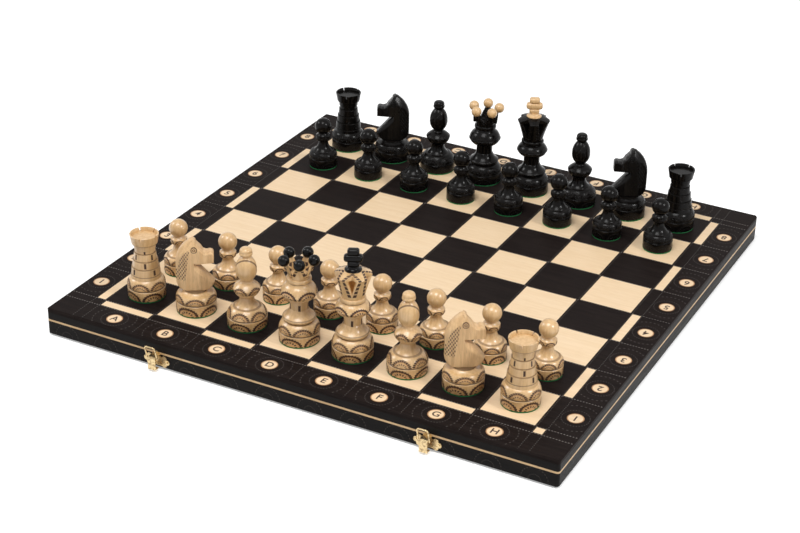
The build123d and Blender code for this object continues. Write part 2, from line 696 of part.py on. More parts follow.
def make_king():
    """The king's turned body with its notched crown, and the finial on top."""
    body = royal_body()
    body.to(KING_COLLAR_R, KING_CUP, COLLAR_BULGE).to(KING_COLLAR_R, KING_RIM, COVE)
    body.to(KING_TOP_R, KING_TOP, STEP).to(KING_NECK_R, KING_NECK, -COVE / 2)
    bead(body, KING_BEAD_R, KING_BEAD).to(CROWN_FOOT_R)
    crown = body.z
    body.to(CROWN_R, CROWN, -COVE).to(CROWN_R - STEP, CROWN_EDGE, STEP).to(FINIAL_R, CROWN_DOME, COVE)
    seat = body.z
    king = body.solid()
    deep = CROWN_R - CROWN_NOTCH_R + 1
    wide = CROWN_NOTCH_OPEN * deep
    outer = CROWN_NOTCH_R + deep
    notch = Polyline((CROWN_NOTCH_R, 0), (outer, wide), (outer, -wide), close=True)
    notch = Pos(0, 0, crown) * extrude(make_face(notch), seat - crown + 1)
    for i in range(CROWN_NOTCHES):
        king -= Rot(0, 0, 360 * i / CROWN_NOTCHES) * notch
    return [king, felt(ROYAL_R)], Pos(0, 0, seat) * make_finial()


def make_board():
    """Write both halves of the board with their hinges, stringing, inlays and clasps."""
    inlays = pale_pieces()
    panel = make_panel(inlays)
    stringing = make_stringing()
    rails = make_rails()
    screws = hinge_screws()
    nails = at_clasps(make_nails())
    for name in ("front", "left", "right", "spine"):
        rails[name] -= stringing
    rails["spine"] -= hinge_room() + screws
    rails["front"] -= nails

    near_spans, far_spans = knuckle_spans()
    near_leaf = make_leaf(near_spans, PIN_R)
    far_leaf = make_leaf(far_spans, PIN_R + PIN_CLEAR)
    hinges = (-HINGE_X, HINGE_X)
    near_leaves = [Pos(x, 0, 0) * near_leaf - screws for x in hinges]
    far_leaves = [Pos(x, 0, 0) * far_leaf - screws for x in hinges]
    pins = [Pos(x, 0, AXIS_Z) * rod(PIN_R, HINGE_LEN, (1, 0, 0)) for x in hinges]
    plates = [plate - nails for plate in at_clasps([make_clasp_plate()])]
    catches = [plate - nails for plate in at_clasps([make_catch()])]
    bails = at_clasps([make_bail()])

    save("near_panel", panel)
    save("near_light_inlay", *inlays)
    save("near_stringing", *stringing)
    for name in ("front", "left", "right", "spine"):
        save(f"near_{name}_rail", rails[name])
    save("near_hinge_leaves", *near_leaves)
    save("hinge_pins", *pins)
    save("near_screws", *screws, *nails)
    save("clasp_plates", *plates)
    save("left_clasp_bail", bails[0])
    save("right_clasp_bail", bails[1])

    save("far_panel", FAR * panel)
    save("far_light_inlay", *[FAR * piece for piece in inlays])
    save("far_stringing", *[FAR * piece for piece in stringing])
    for name, turned in (("back", "front"), ("right", "left"), ("left", "right"), ("spine", "spine")):
        save(f"far_{name}_rail", FAR * rails[turned])
    save("far_hinge_leaves", *[FAR * leaf for leaf in far_leaves])
    save("far_screws", *[FAR * piece for piece in screws + nails])
    save("clasp_catches", *[FAR * plate for plate in catches])


def make_chessmen():
    """Write the chessmen, each on its square at the start of a game."""
    queen, balls = make_queen()
    king, finial = make_king()
    pawn = make_pawn()
    rook, knight, bishop = make_rook(), make_knight(), make_bishop()
    men = {"rook": rook, "knight": knight, "bishop": bishop, "queen": queen, "king": king}
    back_row = ("rook", "knight", "bishop", "queen", "king", "bishop", "knight", "rook")
    white = {"knight": WHITE_HEADING, "bishop": WHITE_SLIT, "queen": WHITE_BALLS, "king": WHITE_NOTCH}
    black = {"knight": BLACK_HEADING, "bishop": BLACK_SLIT, "queen": BLACK_BALLS, "king": BLACK_NOTCH}
    for side, back, front, headings in (("white", 0, 1, white), ("black", 7, 6, black)):
        for file, kind in enumerate(back_row):
            letter = "abcdefgh"[file]
            x = (file - 3.5) * SQUARE
            home = Pos(x, (back - 3.5) * SQUARE, THICK)
            place = home * Rot(0, 0, headings.get(kind, 0))
            name = f"{side}_{kind}" if kind in ("king", "queen") else f"{side}_{kind}_{letter}"
            save(name, *[place * solid for solid in men[kind]])
            if kind == "queen":
                save(f"{name}_balls", *[place * ball for ball in balls])
            if kind == "king":
                save(f"{name}_finial", home * Rot(0, 0, FINIAL_HEADING) * finial)
            stand = Pos(x, (front - 3.5) * SQUARE, THICK)
            save(f"{side}_pawn_{letter}", *[stand * solid for solid in pawn])


os.makedirs("parts", exist_ok=True)
make_board()
make_chessmen()
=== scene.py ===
"""Dress a folding chess set: the board, its brass fittings and the turned and carved chessmen."""
import logging
import math
from dataclasses import dataclass
from enum import Enum
from functools import cache, reduce
from typing import Optional, Sequence, Union

import bmesh
import bpy
from mathutils import Matrix, Vector


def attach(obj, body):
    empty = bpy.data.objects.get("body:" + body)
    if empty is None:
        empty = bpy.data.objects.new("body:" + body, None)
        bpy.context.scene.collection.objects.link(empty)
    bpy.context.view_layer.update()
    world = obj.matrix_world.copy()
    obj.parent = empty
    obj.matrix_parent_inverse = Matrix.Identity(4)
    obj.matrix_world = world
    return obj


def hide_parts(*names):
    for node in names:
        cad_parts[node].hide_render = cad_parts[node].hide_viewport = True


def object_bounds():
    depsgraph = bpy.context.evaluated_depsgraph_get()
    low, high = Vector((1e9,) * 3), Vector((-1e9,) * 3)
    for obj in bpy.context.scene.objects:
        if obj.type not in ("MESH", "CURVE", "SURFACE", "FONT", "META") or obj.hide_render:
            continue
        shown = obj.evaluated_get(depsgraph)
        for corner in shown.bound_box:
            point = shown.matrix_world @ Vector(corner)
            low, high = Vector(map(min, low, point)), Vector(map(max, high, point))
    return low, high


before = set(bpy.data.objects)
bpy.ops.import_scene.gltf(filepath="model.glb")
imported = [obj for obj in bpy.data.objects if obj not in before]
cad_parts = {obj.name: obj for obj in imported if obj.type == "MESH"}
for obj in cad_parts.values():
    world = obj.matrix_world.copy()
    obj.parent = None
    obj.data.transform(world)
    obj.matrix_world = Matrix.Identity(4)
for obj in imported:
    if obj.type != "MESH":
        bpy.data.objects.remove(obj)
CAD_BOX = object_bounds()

LOG = logging.getLogger("chess_set")
FILES = "ABCDEFGH"
MM = 0.001
# Steps of a full turn, and the longest stretch of a turned arc in millimetres
SEGMENTS = 80
CHORD = 0.8
# Points that are nearer to each other are one, in metres
MERGE = 1e-6
# Slack for telling rings of points apart, in millimetres
SLACK = 0.1
# Distance of the tooled dots, in metres
DOT_PITCH = 0.0028
# A height over all the pieces, in millimetres
NO_LIMIT = 1000.0

Socket = bpy.types.NodeSocket
Value = Union[float, tuple, Socket]
Colour = tuple[float, float, float, float]
Axes = tuple[float, float, float]

# Stretch of the wood grain for each axis; it runs along the axis with the smallest one
TURNED_GRAIN: Axes = (420.0, 420.0, 26.0)
CARVED_GRAIN: Axes = (380.0, 380.0, 30.0)
GRAIN_ALONG_X: Axes = (28.0, 420.0, 420.0)
GRAIN_ALONG_Y: Axes = (420.0, 28.0, 420.0)
VENEER_GRAIN: Axes = (26.0, 330.0, 330.0)


class Army(Enum):
    """The two sides, by the names that their nodes start with."""

    PALE = "white"
    DARK = "black"


class Slot(Enum):
    """The record's material slots."""

    VENEER = "dark_veneer"
    PALE = "pale_chessmen"
    DARK = "dark_chessmen"


class Map(Enum):
    """UV maps of a turned piece: turn holds angle and height, plan holds the place across the axis."""

    TURN = "Turn"
    PLAN = "Plan"


# Shader wiring

class Wiring:
    """Adds nodes to a shader tree and joins them."""

    def __init__(self, tree: bpy.types.NodeTree) -> None:
        """Keep the material's tree or the node group that is wired."""
        self.tree = tree

    def feed(self, node: bpy.types.Node, values: dict) -> None:
        """Link or set inputs of a node.

        Args:
            node: the node.
            values: an output socket, a number or a tuple for each input, by its name or place.
        """
        for key, value in values.items():
            if isinstance(value, Socket):
                self.tree.links.new(value, node.inputs[key])
            else:
                node.inputs[key].default_value = value

    def node(self, kind: str, values: Optional[dict] = None, **settings: object) -> bpy.types.Node:
        """Add a node.

        Args:
            kind: the node's type name.
            values: its inputs, as feed takes them.
            settings: properties to set on it.

        Returns:
            The new node.
        """
        made = self.tree.nodes.new(kind)
        for name, value in settings.items():
            setattr(made, name, value)
        self.feed(made, values or {})
        return made

    def math(self, operation: str, a: Value, b: Value = 0.0) -> Socket:
        """Work out one sum of one or two numbers."""
        return self.node("ShaderNodeMath", {0: a, 1: b}, operation=operation).outputs[0]

    def times(self, *factors: Value) -> Value:
        """Multiply numbers."""
        return reduce(lambda a, b: self.math("MULTIPLY", a, b), factors)

    def plus(self, *numbers: Value) -> Value:
        """Add numbers."""
        return reduce(lambda a, b: self.math("ADD", a, b), numbers)

    def minus(self, a: Value, b: Value) -> Socket:
        """Take the second number from the first."""
        return self.math("SUBTRACT", a, b)

    def most(self, *numbers: Value) -> Value:
        """Give the largest of some numbers."""
        return reduce(lambda a, b: self.math("MAXIMUM", a, b), numbers)

    def away(self, value: Value, middle: Value) -> Socket:
        """Distance of a number from a middle."""
        return self.math("ABSOLUTE", self.minus(value, middle))

    def length(self, a: Value, b: Value) -> Socket:
        """Length of a line with two sides at right angles."""
        return self.math("SQRT", self.plus(self.times(a, a), self.times(b, b)))

    def step(self, value: Value, low: Value, high: Value) -> Socket:
        """Rise smoothly from 0, where the value is low, to 1, where it is high."""
        ends = {"Value": value, "From Min": low, "From Max": high}
        return self.node("ShaderNodeMapRange", ends, interpolation_type="SMOOTHSTEP").outputs["Result"]

    def fall(self, value: Value, low: Value, high: Value) -> Socket:
        """Fall smoothly from 1, where the value is low, to 0, where it is high."""
        return self.minus(1.0, self.step(value, low, high))

    def spread(self, mask: Value, low: Value, high: Value) -> Socket:
        """Map a mask's 0 to 1 onto another range."""
        ends = {"Value": mask, "To Min": low, "To Max": high}
        return self.node("ShaderNodeMapRange", ends).outputs["Result"]

    def band(self, value: Value, middle: Value, half: Value, soft: float) -> Socket:
        """Mask a band of half a width around a middle, with a soft edge outside it."""
        return self.fall(self.away(value, middle), half, self.plus(half, soft))

    def mix(self, factor: Value, a: Value, b: Value) -> Socket:
        """Mix two colours, with the factor as the second one's share."""
        return self.node("ShaderNodeMix", {0: factor, 6: a, 7: b}, data_type="RGBA").outputs[2]

    def coat(self, base: Value, *coats: tuple[Value, float, Colour]) -> Value:
        """Lay colours over a base.

        Args:
            base: the base colour.
            coats: for each one a mask, the share that it covers where the mask is 1, and its colour.

        Returns:
            The colour's socket.
        """
        for mask, share, colour in coats:
            base = self.mix(self.times(mask, share), base, colour)
        return base

    def noise(self, place: Value, scale: float, detail: float = 3.0) -> Socket:
        """Read a noise texture at a place."""
        values = {"Vector": place, "Scale": scale, "Detail": detail}
        return self.node("ShaderNodeTexNoise", values).outputs["Fac"]

    def vector(self, operation: str, a: Value, b: Value = (0.0, 0.0, 0.0)) -> Socket:
        """Work out one vector sum."""
        return self.node("ShaderNodeVectorMath", {0: a, 1: b}, operation=operation).outputs[0]

    def split(self, vector: Value) -> tuple[Socket, ...]:
        """Split a vector into its X, Y and Z sockets."""
        return tuple(self.node("ShaderNodeSeparateXYZ", {0: vector}).outputs)

    def place(self) -> Socket:
        """Read Object coordinates."""
        return self.node("ShaderNodeTexCoord").outputs["Object"]

    def uv(self, name: Map) -> Socket:
        """Read one of a piece's UV maps."""
        return self.node("ShaderNodeUVMap", uv_map=name.value).outputs["UV"]

    def seen(self, *rays: str) -> Value:
        """Mask the named kinds of ray."""
        path = self.node("ShaderNodeLightPath")
        return self.most(*(path.outputs[f"Is {ray} Ray"] for ray in rays))

    def group(self, tree: bpy.types.NodeTree, **values: Value) -> dict[str, Socket]:
        """Place a node group with its inputs by name, and give its outputs by name."""
        made = self.node("ShaderNodeGroup", values, node_tree=tree)
        return {socket.name: socket for socket in made.outputs}

    def bump(self, height: Value, distance: float, strength: float) -> Socket:
        """Turn a height into a normal; distance is what a height of 1 stands for, in metres."""
        values = {"Strength": strength, "Distance": distance, "Height": height}
        return self.node("ShaderNodeBump", values).outputs["Normal"]

    def leave(self, **results: Value) -> bpy.types.NodeTree:
        """Put out a node group's results.

        Args:
            results: the results by the names of the group's outputs.

        Returns:
            The group.
        """
        for label in results:
            self.tree.interface.new_socket(name=label, in_out="OUTPUT", socket_type="NodeSocketFloat")
        self.node("NodeGroupOutput", results)
        return self.tree


class Effects:
    """Shader node groups that more than one finish uses, each built once."""

    VECTORS = ("Place", "Stretch", "Turn", "Plan")

    @staticmethod
    def start(name: str, inputs: str) -> tuple[Wiring, dict[str, Socket]]:
        """Start a group.

        Args:
            name: its name.
            inputs: names of its input sockets.

        Returns:
            The group's wiring, and the sockets that its inputs come from, by name.
        """
        tree = bpy.data.node_groups.new(name, "ShaderNodeTree")
        for label in inputs.split():
            kind = "NodeSocketVector" if label in Effects.VECTORS else "NodeSocketFloat"
            tree.interface.new_socket(name=label, in_out="INPUT", socket_type=kind)
        w = Wiring(tree)
        return w, {socket.name: socket for socket in w.node("NodeGroupInput").outputs if socket.name}

    @staticmethod
    @cache
    def grain() -> bpy.types.NodeTree:
        """Wood grain that runs along the axis with the smallest stretch: a warped figure, pores and clouds.

        Returns:
            The group.
        """
        w, put = Effects.start("Wood grain", "Place Stretch")
        stretched = w.vector("MULTIPLY", put["Place"], put["Stretch"])
        figure = w.noise(w.vector("ADD", stretched, w.noise(put["Place"], 14.0, 2.0)), 1.0, 4.0)
        pores = w.noise(stretched, 5.0, 2.0)
        return w.leave(Figure=w.step(figure, 0.3, 0.7), Pores=w.step(pores, 0.52, 0.72),
                       Broad=w.noise(put["Place"], 22.0, 2.0))

    @staticmethod
    @cache
    def burnt_arcs() -> bpy.types.NodeTree:
        """A row of toothed double arcs round a turned piece, with a field burnt brown under each.

        Returns:
            The group; its lengths are shares of an arc's radius.
        """
        w, put = Effects.start("Burnt arcs", "Turn Count Phase Foot Rise Inner Beads")
        turn, height, _ = w.split(put["Turn"])
        cell = w.math("FRACT", w.plus(w.times(turn, put["Count"]), put["Phase"]))
        across = w.times(w.minus(cell, 0.5), 2.0 / 0.93)
        up = w.math("DIVIDE", w.minus(height, put["Foot"]), put["Rise"])
        out = w.length(across, up)
        above = w.step(up, -0.02, 0.05)
        angle = w.math("ARCTAN2", up, across)
        tooth, bead, dash = (w.math("SINE", w.times(angle, count)) for count in (24.0, 22.0, 13.0))
        half = w.plus(w.spread(put["Beads"], 0.105, 0.125), w.times(tooth, 0.045))
        beads = w.spread(put["Beads"], 1.0, w.step(bead, -1.2, -0.5))
        outer = w.times(w.band(out, 0.9, half, 0.03), beads)
        inner = w.times(w.band(out, 0.5, 0.09, 0.04), w.step(dash, -0.5, 0.1), put["Inner"])
        glow = w.band(out, 0.78, 0.08, 0.16)
        field = w.times(w.fall(out, 0.4, 0.9), 0.3)
        return w.leave(Char=w.times(w.most(outer, inner), above), Scorch=w.times(w.most(glow, field), above))

    @staticmethod
    @cache
    def burnt_dashes() -> bpy.types.NodeTree:
        """A ring of upright burnt dashes, one in the middle of each cell.

        Returns:
            The group.
        """
        w, put = Effects.start("Burnt dashes", "Turn Count Phase Half Middle Reach")
        turn, height, _ = w.split(put["Turn"])
        cell = w.math("FRACT", w.plus(w.times(turn, put["Count"]), put["Phase"]))
        side = w.band(cell, 0.5, put["Half"], 0.012)
        return w.leave(Char=w.times(side, w.band(height, put["Middle"], put["Reach"], 0.0004)))

    @staticmethod
    @cache
    def burnt_rim() -> bpy.types.NodeTree:
        """Dashes along the edges of cuts that repeat round a turned piece, and painted shade in their
        hollows.

        Returns:
            The group.
        """
        inputs = "Turn Plan Count Phase Near Lean Low Back Half Gap Slant Facing Pitch Open Top High"
        w, put = Effects.start("Burnt rim", inputs)
        turn, height, _ = w.split(put["Turn"])
        x, y, _ = w.split(put["Plan"])
        radius = w.length(x, y)
        cell = w.math("FRACT", w.plus(w.times(turn, put["Count"]), w.plus(put["Phase"], 0.5)))
        angle = w.math("DIVIDE", w.times(w.minus(cell, 0.5), math.tau), put["Count"])
        out = w.times(radius, w.math("COSINE", angle))
        across = w.math("ABSOLUTE", w.times(radius, w.math("SINE", angle)))
        risen = w.minus(height, put["Low"])
        slant = w.plus(w.times(put["Lean"], risen), w.times(put["Slant"], across))
        behind = w.minus(w.plus(put["Near"], slant), w.times(put["Facing"], out))
        line = w.band(behind, put["Back"], put["Half"], 0.0003)
        along = w.times(w.minus(height, w.times(radius, 0.9)), math.tau)
        wave = w.math("SINE", w.math("DIVIDE", along, put["Pitch"]))
        dash = w.step(wave, w.minus(put["Gap"], 0.3), put["Gap"])
        reach = w.times(w.step(height, put["Low"], w.plus(put["Low"], 0.001)), dash,
                        w.fall(height, w.minus(put["High"], 0.0004), put["High"]))
        inside = w.times(put["Open"], risen)
        beside = w.most(w.step(across, w.minus(inside, 0.0002), inside),
                        w.step(height, w.minus(put["Top"], 0.0004), put["Top"]))
        # Painted shade: the inside of a cut is darkened where shade would fall in its hollow.
        hollow = w.times(w.step(behind, 0.0003, 0.0015), w.minus(1.0, beside))
        return w.leave(Char=w.times(line, reach, beside), Hollow=hollow)

    @staticmethod
    @cache
    def tooled_line() -> bpy.types.NodeTree:
        """A tooled dotted line: across is the distance from it, along the place on it.

        Returns:
            The group.
        """
        w, put = Effects.start("Tooled line", "Across Along")
        line = w.fall(put["Across"], 0.0003, 0.0006)
        wave = w.math("SINE", w.times(put["Along"], math.tau / DOT_PITCH))
        return w.leave(Dots=w.times(line, w.step(wave, -0.1, 0.5)), Line=line)

    @staticmethod
    @cache
    def ring_distance() -> bpy.types.NodeTree:
        """Distance from the nearest middle of two opposite rows of rings, and the angle round it.

        Returns:
            The group.
        """
        w, put = Effects.start("Ring distance", "Across Along Pitch Row")
        half = w.math("DIVIDE", put["Pitch"], 2.0)
        cell = w.minus(half, w.math("PINGPONG", put["Along"], half))
        gap = w.minus(w.math("ABSOLUTE", put["Across"]), put["Row"])
        return w.leave(Out=w.length(cell, gap), Angle=w.math("ARCTAN2", gap, cell))


# Finishes

@dataclass(frozen=True)
class Finish:
    """One named surface; its material is built the first time it is asked for."""

    name: str

    def material(self) -> bpy.types.Material:
        """Give the finish's material, built once.

        Returns:
            The material.
        """
        made = bpy.data.materials.get(self.name)
        if made is None:
            made = bpy.data.materials.new(self.name)
            made.use_nodes = True
            shader = next(n for n in made.node_tree.nodes if n.type == "BSDF_PRINCIPLED")
            self.wire(Wiring(made.node_tree), shader)
        return made

    def wire(self, w: Wiring, shader: bpy.types.Node) -> None:
        """Wire the material's tree, with its Principled BSDF."""
        raise NotImplementedError


@dataclass(frozen=True)
class ArcRow:
    """One row of burnt arcs, in millimetres above the felt's underside."""

    foot: float
    rise: float
    count: int = 6
    phase: float = 0.0
    inner: float = 1.0
    beads: float = 0.0


@dataclass(frozen=True)
class DashRow:
    """One ring of burnt dashes, in millimetres; half is half a dash's share of its cell, 1 for a line."""

    low: float
    high: float
    count: int = 1
    phase: float = 0.0
    half: float = 1.0
    strength: float = 1.0


@dataclass(frozen=True)
class RimRow:
    """Burnt marks along cuts that repeat round a piece, in millimetres.

    A cut's edge lies where near + lean * (height - low) + slant * |across| equals facing * out, with out
    towards the cut's middle and across square to that. The marks run back from it by back, end at the height
    high, and stay outside a cut that widens by opens on each side for each millimetre of height, up to top.
    """

    near: float
    lean: float
    low: float
    count: int
    back: float
    half: float
    gap: float
    slant: float = 0.0
    facing: float = 1.0
    phase: float = 0.0
    pitch: float = 2.4
    strength: float = 1.0
    opens: float = 0.0
    top: float = NO_LIMIT
    high: float = NO_LIMIT


@dataclass(frozen=True)
class Turned(Finish):
    """Varnished turned wood with its burnt ornament, and painted shade in the hollows of its cuts."""

    arcs: tuple[ArcRow, ...] = ()
    dashes: tuple[DashRow, ...] = ()
    rims: tuple[RimRow, ...] = ()
    # How strongly the hollows of cuts are darkened with painted shade.
    hollow_scorch: float = 1.8

    def ornament(self, w: Wiring) -> tuple[Value, Value]:
        """Gather the ornament's masks.

        Args:
            w: wiring of the material's tree.

        Returns:
            The char mask, and the mask of scorch and of painted shade in the cuts' hollows.
        """
        turn = w.uv(Map.TURN)
        char: Value = 0.0
        scorch_and_shade: Value = 0.0
        for row in self.arcs:
            marks = w.group(Effects.burnt_arcs(), Turn=turn, Count=row.count, Phase=row.phase,
                            Foot=row.foot * MM, Rise=row.rise * MM, Inner=row.inner, Beads=row.beads)
            char = w.most(char, marks["Char"])
            scorch_and_shade = w.most(scorch_and_shade, marks["Scorch"])
        for row in self.dashes:
            marks = w.group(Effects.burnt_dashes(), Turn=turn, Count=row.count, Phase=row.phase,
                            Half=row.half, Middle=(row.low + row.high) / 2 * MM,
                            Reach=(row.high - row.low) / 2 * MM)
            char = w.most(char, w.times(marks["Char"], row.strength))
        for row in self.rims:
            marks = w.group(Effects.burnt_rim(), Turn=turn, Plan=w.uv(Map.PLAN), Count=row.count,
                            Phase=row.phase, Near=row.near * MM, Lean=row.lean, Low=row.low * MM,
                            Back=row.back * MM, Half=row.half * MM, Gap=row.gap, Slant=row.slant,
                            Facing=row.facing, Pitch=row.pitch * MM, Open=row.opens, Top=row.top * MM,
                            High=row.high * MM)
            char = w.most(char, w.times(marks["Char"], row.strength))
            # The cuts' hollows join the scorch mask as painted shade.
            scorch_and_shade = w.most(scorch_and_shade, w.times(marks["Hollow"], self.hollow_scorch))
        return char, scorch_and_shade


@dataclass(frozen=True)
class PaleTurned(Turned):
    """Pale varnished wood, with the ornament burnt brown and painted shade in the hollows of its cuts."""

    deep: Colour = (0.62, 0.385, 0.168, 1)
    light: Colour = (0.76, 0.515, 0.26, 1)
    cloud: Colour = (0.55, 0.325, 0.135, 1)
    pore: Colour = (0.36, 0.20, 0.08, 1)
    # Colour of the real scorch round the arcs, also used for the painted shade in the cuts' hollows.
    scorch_and_shade_tone: Colour = (0.46, 0.21, 0.05, 1)
    charred: Colour = (0.032, 0.01, 0.0045, 1)

    def wire(self, w: Wiring, shader: bpy.types.Node) -> None:
        """Wire grain, scorch, painted shade in the cuts' hollows and char under a thin varnish.

        Args:
            w: wiring of the material's tree.
            shader: its Principled BSDF.
        """
        char, scorch_and_shade = self.ornament(w)
        grain = w.group(Effects.grain(), Place=w.place(), Stretch=TURNED_GRAIN)
        # The scorch mask lays both real scorch and painted shade in the cuts' hollows.
        wood = w.coat(w.mix(grain["Figure"], self.deep, self.light),
                      (grain["Broad"], 0.5, self.cloud), (grain["Pores"], 0.25, self.pore),
                      (scorch_and_shade, 0.62, self.scorch_and_shade_tone), (char, 0.97, self.charred))
        carved = w.minus(w.times(grain["Pores"], -0.06), char)
        w.feed(shader, {"Base Color": wood, "Roughness": w.spread(char, 0.34, 0.7),
                        "Coat Weight": w.spread(char, 0.5, 0.0), "Coat Roughness": 0.2,
                        "Normal": w.bump(carved, 0.0004, 0.6)})


@dataclass(frozen=True)
class DarkTurned(Turned):
    """Black lacquered wood, with the ornament pressed in."""

    gloss: float = 0.12
    rough: float = 0.2
    deep: Colour = (0.0024, 0.002, 0.0018, 1)
    light: Colour = (0.0045, 0.0036, 0.0032, 1)
    pressed: Colour = (0.0055, 0.0042, 0.0036, 1)

    def wire(self, w: Wiring, shader: bpy.types.Node) -> None:
        """Wire the lacquer, its faint grain and the pressed marks.

        Args:
            w: wiring of the material's tree.
            shader: its Principled BSDF.
        """
        char, _ = self.ornament(w)
        grain = w.group(Effects.grain(), Place=w.place(), Stretch=TURNED_GRAIN)
        lacquer = w.coat(w.mix(grain["Figure"], self.deep, self.light), (char, 0.6, self.pressed))
        carved = w.minus(w.times(grain["Figure"], 0.05), char)
        w.feed(shader, {"Base Color": lacquer, "Roughness": w.spread(char, self.rough, 0.4),
                        "Specular IOR Level": self.gloss, "Normal": w.bump(carved, 0.0004, 0.7)})


@dataclass(frozen=True)
class CarvedHead(Finish):
    """A knight's head: bare carved wood with a dotted mane and an eye, with painted shade lines round the
    eye.

    The eye's place, and the middle and radius of the mane's edge, are in millimetres of the side view. The
    mane's other sizes and the radii of the painted shade lines round the eye are in metres; hatch is half the
    lines' pitch.
    """

    eye: tuple[float, float]
    crest: tuple[float, float, float]
    light: Colour = (0.74, 0.49, 0.25, 1)
    deep: Colour = (0.6, 0.37, 0.175, 1)
    cut: Colour = (0.12, 0.06, 0.025, 1)
    rough: float = 0.45
    varnish: float = 0.1
    gloss: float = 0.5
    hatch: float = 0.0021
    hatch_slope: float = 1.6
    mane_front: float = -0.0148
    mane_lean: float = 0.15
    mane_low: float = 0.033
    # Radii of the painted shade lines round the pressed eye ring.
    eye_lines: tuple[float, float] = (0.001, 0.0026)

    def mane(self, w: Wiring, along: Value, height: Value) -> Value:
        """Mask the dots and lines that are cut into the mane.

        Args:
            w: wiring of the material's tree.
            along: place towards the nose.
            height: place above the felt's underside.

        Returns:
            The mask's socket.
        """
        lines: Value = 0.0
        dots: Value = 1.0
        for slope in (-self.hatch_slope, self.hatch_slope):
            wave = w.math("PINGPONG", w.plus(height, w.times(along, slope)), self.hatch)
            lines = w.most(lines, w.fall(wave, 0.0002, 0.0006))
            dots = w.times(dots, w.fall(wave, 0.0009, 0.0014))
        front = w.plus(self.mane_front, w.times(self.mane_lean, height))
        x, z, radius = self.crest
        out = w.length(w.minus(along, x * MM), w.minus(height, z * MM))
        inside = w.most(w.fall(out, radius * MM, (radius + 0.4) * MM), w.fall(height, z * MM, (z + 0.4) * MM))
        mane = w.times(w.fall(along, front, w.plus(front, 0.0006)),
                       w.step(height, self.mane_low, self.mane_low + 0.002), inside)
        return w.times(w.most(dots, w.times(lines, 0.4)), mane)

    def wire(self, w: Wiring, shader: bpy.types.Node) -> None:
        """Wire the grain, the mane's hatching and the painted shade lines round the eye.

        Args:
            w: wiring of the material's tree.
            shader: its Principled BSDF.
        """
        along, _, _ = w.split(w.uv(Map.PLAN))
        _, height, _ = w.split(w.uv(Map.TURN))
        out = w.length(w.minus(along, self.eye[0] * MM), w.minus(height, self.eye[1] * MM))
        # The lines round the eye are painted shade, standing in for the thin shadows at the ring's edges.
        cuts = w.most(self.mane(w, along, height), *(w.band(out, r, 0.0002, 0.0003) for r in self.eye_lines))
        grain = w.group(Effects.grain(), Place=w.place(), Stretch=CARVED_GRAIN)
        wood = w.coat(w.mix(grain["Figure"], self.deep, self.light), (grain["Pores"], 0.22, self.cut),
                      (cuts, 0.95, self.cut))
        carved = w.minus(w.times(grain["Pores"], -0.06), cuts)
        w.feed(shader, {"Base Color": wood, "Roughness": self.rough, "Specular IOR Level": self.gloss,
                        "Coat Weight": self.varnish, "Coat Roughness": 0.2,
                        "Normal": w.bump(carved, 0.0005, 0.8)})


@dataclass(frozen=True)
class Felt(Finish):
    """Green felt."""

    deep: Colour = (0.006, 0.1, 0.028, 1)
    light: Colour = (0.018, 0.22, 0.065, 1)

    def wire(self, w: Wiring, shader: bpy.types.Node) -> None:
        """Wire a fuzzy, uneven green.

        Args:
            w: wiring of the material's tree.
            shader: its Principled BSDF.
        """
        fibres = w.noise(w.place(), 2600.0)
        w.feed(shader, {"Base Color": w.mix(fibres, self.deep, self.light), "Roughness": 0.95,
                        "Normal": w.bump(fibres, 0.0004, 0.8)})


